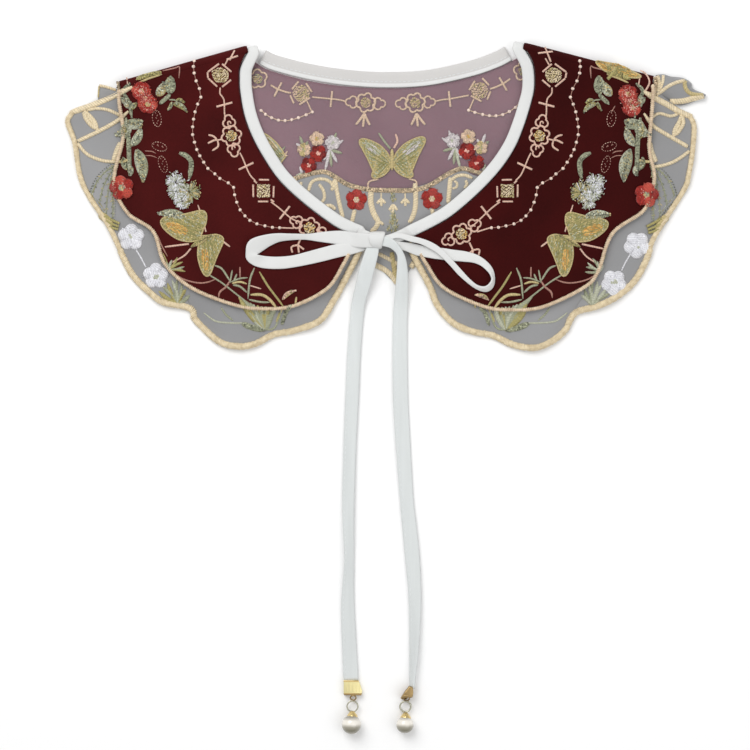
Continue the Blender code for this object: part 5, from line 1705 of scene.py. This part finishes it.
def butterflyFor(word):
    side = Side(word)
    work = Needlework(frontTree)
    names = ("olive", "straw", "olive", "straw", "mossy", "paleSage")
    hand = 1 if side.left else -1
    wingOf(work, side.at(200, 239), side.at(159, 229), -hand, names=names)
    wingOf(work, side.at(203, 236), side.at(201, 276), hand, wide=0.78, names=names)
    work.leaf(side.at(191, 247), side.at(212, 234.6), 5.4, dyes["olive"], high=0.9 * mm, dark=dyes["straw"], lift=0.5 * mm)
    for table, wide in ((((217, 237), (223, 241.5), (230, 246.8)), 1.9), (((206, 232), (203, 220), (198, 205)), 1.5),
                        (((189, 244), (177, 245.5), (165, 247)), 1.9), (((191, 248.5), (184, 256), (172, 262.5)), 1.7)):
        work.line(side.path(table), wide, dyes["pink"], taper=(1, 0.6))
    name = word.lower()
    nodes = [f"butterfly_{name}"]
    if not side.left:
        nodes.append("butterfly_shoulder")
        wingOf(work, (613, 72), (639.6, 80), 1, wide=0.5, names=("straw", "gold", "olive", "amber"))
        wingOf(work, (611, 73), (594.6, 64.5), -1, wide=0.74, names=("straw", "gold", "olive", "amber"))
        work.line(((607, 80), (613, 73), (618, 64)), 3.4, dyes["olive"], high=0.8 * mm, lift=0.4 * mm)
    work.made(f"butterfly{word}", "olive_thread", satin, nodes)


frond = {
    "outline": ((116.4, 163.4), (110, 165), (105, 169), (97.6, 176.6), (92.6, 186), (89.8, 196), (94, 201), (99, 206), (104, 213),
                (108.6, 219), (113.6, 219.6), (115, 212), (114.6, 200), (112.4, 188), (113, 176), (116, 168)),
    "spines": (((116, 164.5), (106, 171), (97, 181), (91, 195)), ((115, 166), (107, 178), (102, 190), (99, 204)),
               ((115, 168), (110, 182), (107, 198), (106, 214)), ((114.6, 172), (112, 190), (112.6, 206), (112.6, 218))),
}


def frondFor(work, side):
    # a broad frond: a dashed, toothed edge and pale ribs with slanted stitches off them
    outline = smooth([place(*side.at(*p)) for p in frond["outline"] + frond["outline"][:1]], 54)[:-1]
    middle = outline.mean(axis=0)
    for k, spot in enumerate(outline):
        out = (spot - middle) / np.linalg.norm(spot - middle)
        following = outline[(k + 1) % len(outline)]
        work.stitch(spot, spot * 0.4 + following * 0.6 + out * 0.9 * mm, 0.36 * mm, 0.42 * mm, dyes["darkSage"] * 0.62)
        work.stitch(spot - out * 1.6 * mm, following - out * 1.2 * mm, 0.3 * mm, 0.36 * mm, vary("sage", "paleSage", "olive")())
    for table in frond["spines"]:
        path = smooth([place(*side.at(*p)) for p in table], 16)
        work.strip(path, 0.42 * mm, 0.4 * mm, dyes["sage"] * 0.9, ring=5, slant=0.5)
        for k in range(1, 15, 2):
            gone = path[k + 1] - path[k]
            gone /= np.linalg.norm(gone)
            for hand in (1, -1):
                out = gone * 0.7 + hand * np.array((-gone[1], gone[0])) * 0.7
                work.stitch(path[k], path[k] + out * random.uniform(1.4, 2.5) * mm, 0.3 * mm, 0.36 * mm,
                            vary("paleSage", "sage", "sage", "straw", "darkSage")())


def tuft(work, side, base, tips, wide, names, bend=0.1, high=0.5 * mm):
    # blades from one root
    for k, tip in enumerate(tips):
        one, two = np.array(side.at(*base), float), np.array(side.at(*tip), float)
        gone = two - one
        middle = (one + two) / 2 + np.array((-gone[1], gone[0])) * bend * (1 if k % 2 else -1)
        work.line((tuple(one), tuple(middle), tuple(two)), wide, vary(*names)(), high=high, taper=(0.55, 0.25))


foliage = {
    # base, tip, width, bend, colours
    "leaves": (((186.5, 217.5), (157.6, 213.4), 9.6, -0.05, "paleSage", "sage"), ((168.6, 93.4), (171.4, 76.6), 6.8, 0.1, "sage", "paleSage"),
               ((157, 96), (164.5, 83), 9.5, -0.1, "paleSage", "straw"), ((172.5, 104), (187.2, 112.6), 5.6, 0.15, "sage", "olive"),
               ((176, 100.5), (184.8, 103.4), 3.6, 0.2, "olive", "sage"), ((172, 102), (167.6, 110.6), 3.6, 0.1, "sage", "olive"),
               ((128, 121), (142.6, 120.4), 11, -0.25, "sage", "paleSage"), ((126.5, 120), (115.2, 135), 11.5, 0.3, "paleSage", "sage"),
               ((131, 146), (141, 127), 9, -0.1, "paleSage", "sage"), ((128, 139), (124, 124), 7, 0.1, "sage", "olive"),
               ((136.5, 149.5), (143.4, 182), 12.5, 0.06, "sage", "paleSage"), ((127, 170), (123.5, 157), 6, 0.1, "sage", "darkSage"),
               ((131, 175.5), (128.6, 164), 5.5, -0.1, "paleSage", "sage"), ((122, 98), (132, 104), 7, -0.1, "sage", "paleSage"),
               ((131, 110), (137.6, 104), 6, 0.1, "sage", "olive"), ((131.5, 108), (124.5, 101), 6, 0.1, "paleSage", "sage"),
               ((282.4, 299.9), (296.4, 290.6), 4.6, 0.12, "pink", "straw")),
    # path, width, colour
    "stems": ((((179.3, 153), (186.4, 156), (191.4, 163), (189.6, 178.6)), 5.0, "sage"),
              (((160, 104), (166, 99), (171, 94.4)), 4.2, "sage"), (((171, 93.5), (173.5, 86), (171, 77)), 5.4, "sage"),
              (((169, 100), (176, 101), (180, 107.4)), 2.0, "sage"), (((131, 84), (124, 92), (130, 104), (132, 118)), 3.6, "sage"),
              (((126, 118), (128, 132), (129, 150), (129.6, 176)), 4.6, "sage"), (((116, 162), (122, 161.5), (129, 160)), 3.0, "straw"),
              (((137, 79.5), (149, 75.5), (162, 73)), 5.4, "olive"), (((139, 83.5), (150, 79), (162.5, 75)), 2.6, "straw"),
              (((163, 71.5), (176, 68.5), (180, 67.5), (179.4, 79)), 1.8, "dullPink"), (((127, 77.5), (128.6, 87)), 1.8, "pink"),
              (((145, 151), (152, 151.6), (156, 153.5)), 1.4, "dullPink"), (((145, 155.6), (152, 156), (157, 158)), 1.2, "dullPink"),
              (((153, 106), (157, 112)), 1.3, "dullPink"),
              (((171.4, 271.8), (183, 279), (197, 282.8), (207, 282.4), (216.4, 279)), 2.0, "dullPink"),
              (((205.9, 273), (222, 283), (240, 297), (250, 304)), 2.2, "sage"), (((214.8, 265.5), (222, 269), (230, 281)), 2.6, "sage"),
              (((230, 281), (226, 287), (220, 292), (218.6, 298)), 2.6, "dullPink"), (((230, 283), (232.4, 270)), 2.2, "sage"),
              (((254.5, 268), (250, 280), (248, 299)), 2.6, "sage"), (((259.4, 271.8), (268, 286), (277, 298), (284.5, 308)), 2.8, "olive"),
              (((250.5, 294.8), (262, 295), (270, 300), (277.3, 309)), 3.0, "straw"), (((249, 299.6), (260, 302), (270, 302.4)), 2.6, "sage"),
              (((250, 285.6), (261.4, 289)), 1.8, "pink"), (((240, 267), (240.2, 278)), 2.0, "dullPink"),
              (((231, 282), (240, 278.6), (248, 277.8)), 2.2, "sage"), (((232, 283.4), (240, 282), (247, 284)), 2.8, "straw"),
              (((233, 285), (240, 286.6), (247, 292.6)), 2.8, "sage"), (((234, 281), (237, 274)), 2.4, "sage"),
              (((203.5, 312.6), (209, 317), (217, 321.6), (232, 323), (248, 323)), 2.4, "paleSage"),
              (((221, 307.5), (226, 314.6), (233, 320.6)), 2.6, "sage"),
              (((242, 323.4), (252, 327.4), (265, 330)), 6.0, "sage"), (((265, 330), (274, 328), (279, 318), (281, 309)), 2.6, "sage"),
              (((282.5, 309), (278, 317), (276, 322)), 2.2, "straw"), (((291.6, 305), (286, 312), (281.6, 324.6)), 4.2, "sage"),
              (((296.6, 297), (295.4, 304)), 2.6, "straw"), (((280.4, 312), (276.6, 322)), 3.0, "olive"),
              (((157.4, 234.8), (162, 246), (167.6, 256.5)), 1.6, "dullPink"), (((163, 253), (167, 262), (169, 268)), 1.6, "olive")),
    # root, tips, width
    "tufts": (((169.4, 270), ((172, 260), (177.4, 257.4), (183, 262), (184.6, 266.6), (185.5, 271.6), (166, 262)), 2.8),
              ((177.6, 304), ((158.6, 291), (162.6, 286.6), (167.4, 283), (172, 280), (177, 279.6), (181.6, 284), (186, 289), (189.6, 295)),
               4.2),
              ((265, 330), ((238.8, 297), (242.6, 299), (246, 301), (250, 303), (253.6, 304.4), (257.4, 305.4), (261.4, 306.4), (265.4, 306.6),
                             (269, 307), (272.6, 307.2), (276.4, 307.6), (244, 309), (250, 313)), 5.2)),
    "outlines": ((157, 118.7, 4.4, 8.2, 0.15), (159.5, 146.7, 7.6, 4.2, -0.3), (163, 164.4, 4.0, 8.6, 0.3)),
}


def foliageFor(word):
    side = Side(word)
    work = Needlework(borderTree(word))
    hand = 1 if side.left else -1
    for base, tip, wide, bend, one, two in foliage["leaves"]:
        work.leaf(side.at(*base), side.at(*tip), wide, dyes[one], bend * hand, dark=dyes[two])
    for table, wide, name in foliage["stems"]:
        work.line(side.path(table), wide * (0.8 if wide < 2.9 else 1), dyes[name], high=min(0.7, 0.22 + wide * 0.1) * mm,
                  taper=(0.5, 0.4), rough=wide > 3.4)
    for base, tips, wide in foliage["tufts"]:
        tuft(work, side, base, tips, wide, ("sage", "paleSage", "olive", "sage"), bend=0.06, high=0.95 * mm)
    frondFor(work, side)
    for table in (((104.6, 216), (112, 220), (119.6, 223.6)), ((105.6, 221), (112, 224), (118.6, 226.6)), ((107, 226), (113, 228), (118, 229.4))):
        work.line(side.path(table), 2.6, dyes["olive"], high=0.5 * mm, lift=0.9 * mm)
    for across, down, wide, tall, lean in foliage["outlines"]:
        spot = place(*side.at(across, down))
        unit = collar["unit"]
        turn = lean * hand
        for k in range(18):
            angles = [2 * math.pi * (k + t) / 18 for t in (0.1, 0.85)]
            ends = []
            for angle in angles:
                x, y = wide * unit * math.cos(angle), tall * unit * math.sin(angle)
                ends.append((spot[0] + x * math.cos(turn) - y * math.sin(turn), spot[1] + x * math.sin(turn) + y * math.cos(turn)))
            work.stitch(*ends, 0.27 * mm, 0.34 * mm, vary("dullPink", "pink")())
        for k in range(5):
            share = -0.7 + 0.32 * k
            x0, y0 = (share * wide * unit, 0) if wide > tall else (0, share * tall * unit)
            a = (spot[0] + x0 * math.cos(turn) - y0 * math.sin(turn), spot[1] + x0 * math.sin(turn) + y0 * math.cos(turn))
            work.stitch(a, (a[0] + 0.9 * mm * (1 if k % 2 else -1), a[1] + 1.1 * mm), 0.24 * mm, 0.34 * mm, dyes["dullPink"])
    work.made(f"foliage{word}", "olive_thread", satin)


ribTables = {
    "Left": ((((69.8, 112.3), (83, 108), (98, 102.6), (114.7, 96), (133, 87.7)), 6.2, (0.7, 0.45)),
             (((86.7, 110.2), (95, 108.6), (104.9, 109.3), (113, 112), (120.4, 115.8)), 3.3, (0.7, 1)),
             (((77.5, 141), (95, 133), (112, 124.2), (121, 118.4), (128.8, 111.6)), 4.2, (0.8, 0.5)),
             (((77.5, 143), (83, 150.4), (90, 156), (102, 160.4), (116, 162)), 3.5, (0.9, 0.8)),
             (((83.9, 110.9), (88.6, 114.6), (95, 122), (97.9, 132)), 3.6, (1, 0.5)),
             (((83.9, 112), (85.6, 118), (90.6, 124.6), (97.6, 129.6)), 4.6, (1, 0.4)),
             (((87, 115), (92, 121.6), (97, 127.6)), 3.8, (0.6, 0.4)),
             (((121, 143), (117, 151), (114, 160.6)), 6.0, (0.9, 0.9))),
    "Right": ((((642.8, 92), (652.7, 97.5), (668, 105), (680, 111.6), (692.5, 116.6)), 6.0, (0.5, 0.8)),
              (((651, 118), (658.9, 113.6), (670.3, 116), (678, 114)), 3.2, (1, 0.8)),
              (((643.6, 113.6), (649, 121), (655, 127.3), (665, 133.5), (688, 146.5)), 4.1, (0.5, 0.9)),
              (((652.7, 167), (662, 165.6), (671.9, 162.5), (681, 157.4), (689.5, 151)), 3.5, (0.8, 0.9)),
              (((681.8, 115), (679, 122), (675, 129), (673.4, 137.3)), 3.6, (1, 0.5)),
              (((682.4, 116), (683.6, 123), (679, 131), (674, 136)), 4.2, (1, 0.4)),
              (((680.8, 118), (678.8, 125), (675.4, 133)), 3.6, (0.6, 0.4)),
              (((649.6, 143), (651, 151), (655.6, 162)), 6.0, (0.9, 0.9))),
}


def ribsFor(word):
    work = Needlework(frontTree)
    for table, wide, taper in ribTables[word]:
        work.line(table, wide, dyes["cream"], high=1.15 * mm, taper=taper, ring=7, lift=0.1 * mm)
    # a wrapped bundle crosses the hem where the frond begins
    cross = ((99, 214), (106, 219), (112, 226)) if word == "Left" else ((668, 216), (662, 222), (657, 231))
    work.line(cross, 8.0, dyes["straw"], high=1.0 * mm, taper=(0.6, 0.5), ring=7, lift=0.2 * mm)
    name = word.lower()
    work.made(f"ribs{word}", "cream_thread", satin, [f"rib_{part}_{name}" for part in ("fork", "low", "mid", "pod", "top")])


random.seed(23)
for word in ("Left", "Right"):
    ribsFor(word)
    foliageFor(word)
    redFlowersFor(word)
    whiteFlowersFor(word)
    asterFor(word)
    butterflyFor(word)
print("front embroidery made")


# the back panel, seen through the neck: duller, flatter wrong side of the same work
def backPoint(across, down):
    # the right half of the back from the left half
    return 781 - across, down - 0.11 * min(max(328 - across, 0), 90)


def backChain():
    work, unit = Needlework(frontTree), collar["unit"]
    thread = dyes["backCream"]
    low = {"high": 0.3 * mm}
    for mirror in (lambda a, d: (a, d), backPoint):
        hand = 1 if mirror(300, 90)[0] < 390 else -1

        def lay(table, wide, **more):
            work.line([mirror(*p) for p in table], wide, thread, **{**low, **more})

        spot = place(*mirror(301.2, 93.2))
        work.fill(ringOf(spot, 8.8 * unit, 6, 0.1, 0.2), 0.8, 0.54 * mm, vary("backCream", "straw", "backCream"), 0.26 * mm, long=1.9 * mm,
                  wander=0.8)
        for a, b, c, d in ((-9.4, -4, -2.6, -12), (4.8, -10, 10.6, -1.2), (-11, 2, -7.4, 10.2), (-2, 11.4, 8.8, 4.4)):
            lay(((301.2 + a, 93 + b), (301.2 + c, 93 + d)), 1.9)
        for across, down, lean in ((277.8, 89.2, 62), (331.3, 98.8, 84)):
            c, s = 8 * math.cos(math.radians(lean)), 8 * math.sin(math.radians(lean))
            lay(((across - c, down + s), (across + c, down - s)), 2.0)
        lay(((270.5, 84.8), (278, 89), (287, 92), (291, 92.6)), 1.9)
        lay(((312, 96.8), (331, 98.6), (338, 99.4), (345.4, 101)), 1.6)
        lay(((307, 101), (311.4, 110.6)), 1.5)
        centre = (365.8, 102.4)
        closedLine(work, ringOf(place(*mirror(*centre)), 9.8 * unit, 6, 0.28, 0.2, 48), 1.9, thread, **low)
        filledRound(work, place(*mirror(*centre)), 5.6 * unit, ("backCream", "straw"))
        for far in (-14, 13.4):
            spot = place(*mirror(centre[0] + far, centre[1] + (1 if far > 0 else -0.6)))
            closedLine(work, ringOf(spot, 6.2 * unit, 3, 0.4, (0 if far * hand > 0 else math.pi), 30), 1.7, thread, **low)
        for a, b in ((-8.6, 11.4), (-1.4, 13.4), (5.4, 11.8)):
            lay(((364.4, 113), (364.4 + a * 0.5, 113 + b * 0.55), (364.4 + a, 113 + b)), 2.4, taper=(0.6, 0.8))
        spot = place(*mirror(257.5, 78.5))
        closedLine(work, ringOf(spot, 9.6 * unit, 5, 0.28, 0.4, 44), 1.8, thread, **low)
        filledRound(work, spot, 5.2 * unit, ("backCream", "sage", "straw"))
        for across, down in ((261, 110.3), (265.3, 114.1), (271.5, 117.5), (278.2, 119.9), (284.9, 120.3), (291.6, 119.4), (298.3, 117.5),
                             (306, 114.6), (312.2, 111.7)):
            work.knot(place(*mirror(across, down)), 1.8 * unit, 0.6 * mm, dyes["bead"])
        lay(((261, 110.3), (271.5, 117.5), (285, 120.5), (298.3, 117.5), (312.2, 111.7)), 0.9, high=0.2 * mm)
    work.made("backChain", "cream_thread", satin)


def backBouquets():
    work, unit = Needlework(frontTree), collar["unit"]
    reds = Needlework(frontTree)
    for left in (True, False):
        def at(across, down):
            return (across, down) if left else (785.2 - across, down - 2.2)
        for base, tips in (((330, 149.5), ((343.3, 139.7), (336.3, 132.4), (342.2, 153), (331.4, 166.4), (325, 170), (337, 162), (323.6, 160))),
                           ((304, 148.5), ((296, 143.3), (299.8, 136), (308, 141))), ((302, 173), ((295, 177), (300, 166)))):
            for k, tip in enumerate(tips):
                work.line([at(*base), at(*tip)], 3.0, vary("paleSage", "sage", "backWhite")(), high=0.4 * mm, taper=(0.6, 0.3))
        for across, down, radius, names, heart in ((316.8, 138.5, 7.4, ("backCream",), ("straw", "amber")),
                                                   (304, 149.6, 6.8, ("backCream", "straw"), ("sage", "straw")),
                                                   (332.4, 142.6, 7.6, ("backWhite",), ("paleSage", "backWhite"))):
            petalFlower(work, place(*at(across, down)), radius * unit, names, heart, turn=0.5, high=0.55 * mm)
        for across, down, radius in ((318.4, 153, 8.6), (308.6, 165, 8.2)):
            petalFlower(reds, place(*at(across, down)), radius * unit, ("red", "deepRed", "red"), ("blush", "backRed"), "backRed", turn=0.9,
                        high=0.6 * mm)
    # part of a wing and its sprig at the left edge
    wingOf(work, (285, 157), (264, 131), 1, wide=0.5, names=("paleSage", "straw", "sage"), patch=("straw", "backCream"), high=0.35 * mm)
    tuft(work, Side("Left"), (281, 157), ((285, 146), (287.6, 150.5), (288, 155.5), (284, 159.6)), 1.9, ("backCream", "sage"))
    work.made("backBouquets", "cream_thread", satin)
    for across, down in ((356.3, 199.6), (432, 198.6)):
        petalFlower(reds, place(across, down), 10.9 * unit, ("red", "backRed", "red"), ("straw", "backCream"), "backRed", turn=0.2, high=0.7 * mm)
    reds.made("backRedFlowers", "red_thread", satin, ["flower_red_back_left", "flower_red_back_right"])


def backButterfly():
    work = Needlework(frontTree)
    names = ("olive", "straw", "paleSage", "straw", "sage")
    for hand, root, top, tail in ((-1, (390.8, 161), (364, 135.4), (376, 180.2)), (1, (393.4, 161), (420.4, 133.4), (409, 179.6))):
        wingOf(work, root, top, -hand, wide=0.8, names=names, patch=("paleSage", "backWhite"), high=0.4 * mm)
        wingOf(work, (root[0], root[1] + 2), tail, hand, wide=1.0, names=names, patch=None, high=0.4 * mm)
    work.line(((392, 149), (392.2, 158), (392, 170)), 3.6, dyes["straw"], high=0.9 * mm, taper=(0.5, 0.4), lift=0.4 * mm, ring=7)
    for table, wide, name in ((((378.6, 132.6), (384, 140.6), (390.4, 148.6)), 2.2, "sage"), (((395.6, 133.6), (397.4, 141), (394, 147.8)), 2.2, "pink"),
                              (((378.6, 179), (369, 181.6), (368, 188.6)), 1.8, "backCream"),
                              (((408.6, 178.6), (416, 181), (416.6, 188)), 1.8, "backCream")):
        work.line(table, wide, dyes[name], taper=(0.5, 1))
    work.made("backButterfly", "olive_thread", satin, ["butterfly_back"])


backLines = {
    "join": (((286, 182.4), (291, 180), (307, 174.4), (324, 171.6), (335, 176.7), (348.3, 184.6), (365.3, 189), (380, 190), (399.2, 190.4),
              (416.2, 189.6), (430.8, 184.6), (446.5, 174.8), (461, 168.4), (472, 170.2), (481.7, 173.4)), 5.2),
    "ribs": ((((308.3, 191), (311, 183), (316, 179.4), (324, 179), (330.4, 182), (332.6, 187)), 3.4), (((331, 190), (334, 186), (333.6, 180)), 3.6),
             (((319, 184), (323.4, 190.6), (324.2, 198), (320.6, 203.4)), 3.2), (((324.6, 206), (331, 205.6), (335.4, 209.6)), 3.8),
             (((335, 177.6), (336.8, 190.6), (339.8, 205.2), (343.4, 220)), 4.2), (((354.8, 209.6), (353, 217), (351, 226)), 4.2),
             (((371, 190), (370.8, 202), (373.8, 213.4), (379.4, 222.6)), 5.8), (((379, 220), (376, 227), (371, 232)), 5.0),
             (((379, 221), (383.6, 224.6)), 3.0), (((415, 183), (415.8, 198), (414.6, 211), (410, 222.6)), 5.0),
             (((410, 221), (408, 221.2)), 3.6), (((432, 208.6), (433, 213), (433.6, 217)), 4.2),
             (((450.6, 177.4), (449.4, 190), (448.2, 203.6)), 4.6), (((451.4, 180), (457, 175.8), (465, 175), (472.6, 178)), 3.4),
             (((452.6, 188.4), (456.6, 187), (457, 182.6), (454, 181)), 2.6), (((465.8, 180), (467, 184.4), (464.4, 188)), 3.2),
             (((301, 181.6), (300.6, 186)), 3.0), (((378.2, 253.4), (388, 258.4), (399.6, 265)), 4.0)),
    "pendants": ((381.2, 193), (405.2, 193)),
}


def backEdges():
    work = Needlework(frontTree)
    table, wide = backLines["join"]
    work.line(table, wide * 0.9, dyes["backBorder"], high=0.8 * mm, ring=7, rough=True)
    for table, wide in backLines["ribs"]:
        work.line(table, wide, dyes["cream"] * 0.96, high=0.7 * mm, taper=(0.75, 0.6), ring=7)
    for across, down in backLines["pendants"]:
        work.line(((across, down), (across, down + 6.6)), 1.6, dyes["cream"])
        for a, b in ((-4.2, 10.2), (0.2, 13), (4.2, 10)):
            work.line(((across, down + 5.6), (across + a, down + b)), 2.8, dyes["cream"], taper=(0.6, 0.9))
    for k in range(190):
        down = random.choice((random.uniform(190, 203), random.uniform(212, 234), random.uniform(214, 234)))
        across = 393.2 + random.uniform(-1, 1) * (2.6 if down < 204 else 1.6 + (down - 212) * 0.22)
        a = np.array(place(across, down))
        turn = random.uniform(-0.7, 0.7) + math.pi / 2
        work.stitch(a, a + 1.9 * mm * np.array((math.cos(turn), math.sin(turn))), 0.27 * mm, 0.4 * mm,
                    vary("sage", "olive", "straw", "darkSage", "paleSage")())
    for a, b in ((-4, 6), (0, 9), (4, 6)):
        work.line(((393.2, 204), (393.2 + a, 204 + b)), 2.8, dyes["cream"], taper=(0.5, 0.9))
    work.made("backRibs", "cream_thread", satin)
    work = Needlework(frontTree)
    path = (((373, 263.5), (384.7, 269.6), (392, 276), (397, 283)), ((410.8, 267.6), (414, 262.4)))
    for table in path:
        work.line(table, 5.4, dyes["cream"], high=1.1 * mm, ring=7)
    work.line(((391.6, 252), (394, 266), (396.2, 280)), 5.0, dyes["straw"], high=0.9 * mm, taper=(0.7, 0.9), ring=7)
    work.made("backHemCord", "cream_thread", satin, ["hem_cord_back"])


ruffle = {
    "upper": ((656, 75), (664, 74.2), (672, 76.6), (684, 78), (691.6, 83), (693, 88.4), (705.6, 94)),
    "ridge": ((656, 93), (663, 90), (670, 85.4), (677, 82.2), (685, 80.6), (691, 92), (705.8, 94.8)),
    "lower": ((656, 96), (664, 98.8), (672, 101.6), (680, 105), (688, 103.6), (696, 100.4), (706, 95.6)),
    "cords": ((((656, 95.4), (662, 91.2), (668, 86.6), (676, 82.8), (684.6, 80.8)), 3.6, "cream"),
              (((685.4, 80.8), (684.6, 85), (686.8, 90.4), (692, 94), (703, 95.2)), 4.2, "straw"),
              (((704, 95.6), (694, 98.2), (682, 101), (670, 101.4)), 5.6, "cream"),
              (((657.2, 75.6), (658.6, 82), (657.6, 92)), 4.6, "cream"), (((663.6, 75), (662.6, 82), (659.6, 90)), 3.0, "cream")),
}


def shoulderRuffle():
    curves = [plan(ruffle[key], 40) for key in ("lower", "ridge", "upper")]
    grid = []
    for one, two, rows, tops in ((curves[0], curves[1], 9, (2.0, 6.8)), (curves[1], curves[2], 7, (6.8, 1.6))):
        for share in np.linspace(0, 1, rows)[(0 if not grid else 1):]:
            points = one * (1 - share) + two * share
            tall = tops[0] * (1 - share) + tops[1] * share + 0.9 * math.sin(math.pi * share)
            run = np.linspace(0, 1, 40)
            heights = 1.2 + (tall - 1.2) * (1 - 0.62 * run ** 1.4)
            grid.append(np.column_stack([points, heights * mm]))
    made = clothSheet("organzaRuffle", grid, 0.35 * mm, organza, ["organza_ruffle"])
    work = Needlework(treeFrom([made]))
    for table, wide, name in ruffle["cords"]:
        work.line(table, wide, dyes[name], high=0.9 * mm, ring=7, lift=0.05 * mm)
    work.made("ruffleCords", "cream_thread", satin)
    work = Needlework(frontTree)
    work.line(((98.8, 85), (106, 86.6), (115.4, 89.6)), 2.8, dyes["cream"], high=0.6 * mm)
    work.line(((98.6, 85.6), (98.2, 91), (97.8, 97)), 1.5, dyes["straw"], high=0.4 * mm)
    work.line(((640, 70.7), (644.6, 73.6), (648, 79), (648.6, 84.5), (644.8, 91.4)), 2.0, dyes["pink"])
    work.line(((654.2, 77.4), (655.2, 81), (654.8, 88), (654.4, 96)), 4.0, dyes["backBorder"], high=0.9 * mm, rough=True)
    work.line(((118.4, 82.4), (118.8, 88), (119, 94)), 3.6, dyes["backBorder"], high=0.9 * mm, rough=True)
    work.made("flapCord", "cream_thread", satin)


random.seed(31)
backChain()
backBouquets()
backButterfly()
backEdges()
shoulderRuffle()
print("back embroidery made")


# camera, light, floor
def makeStage():
    bpy.ops.mesh.primitive_plane_add(size=6, location=(0, 0, -0.0002))
    floor = bpy.context.object
    floor.name = "paleFloor"
    pale, tree, shader = newMaterial("paleFloor", (0.93, 0.93, 0.93), 0.95, Specular_IOR_Level=0.1)
    floor.data.materials.append(pale)
    world = bpy.data.worlds.new("studio")
    scene.world = world
    world.use_nodes = True
    world.node_tree.nodes["Background"].inputs[0].default_value = (1, 1, 1, 1)
    world.node_tree.nodes["Background"].inputs[1].default_value = 0.55
    for name, spot, size, power in (("keyLight", (-0.55, 0.75, 1.3), 1.1, 16), ("fillLight", (0.9, -0.5, 1.4), 1.4, 8)):
        lamp = bpy.data.lights.new(name, "AREA")
        lamp.size = size
        lamp.energy = power
        made = bpy.data.objects.new(name, lamp)
        made.location = spot
        made.rotation_euler = (Vector((0, -0.05, 0)) - Vector(spot)).to_track_quat("-Z", "Y").to_euler()
        scene.collection.objects.link(made)
    lens = bpy.data.cameras.new("camera")
    camera = bpy.data.objects.new("camera", lens)
    scene.collection.objects.link(camera)
    middleX, middleY = place(375, 375)
    height = 2.0
    camera.location = (middleX, middleY, height + 0.004)
    lens.sensor_width = 36
    lens.lens = 36 * height / (750 * collar["unit"])
    lens.clip_start, lens.clip_end = 0.05, 20
    scene.camera = camera
    scene.view_settings.view_transform = "Standard"


makeStage()
print("stage made")
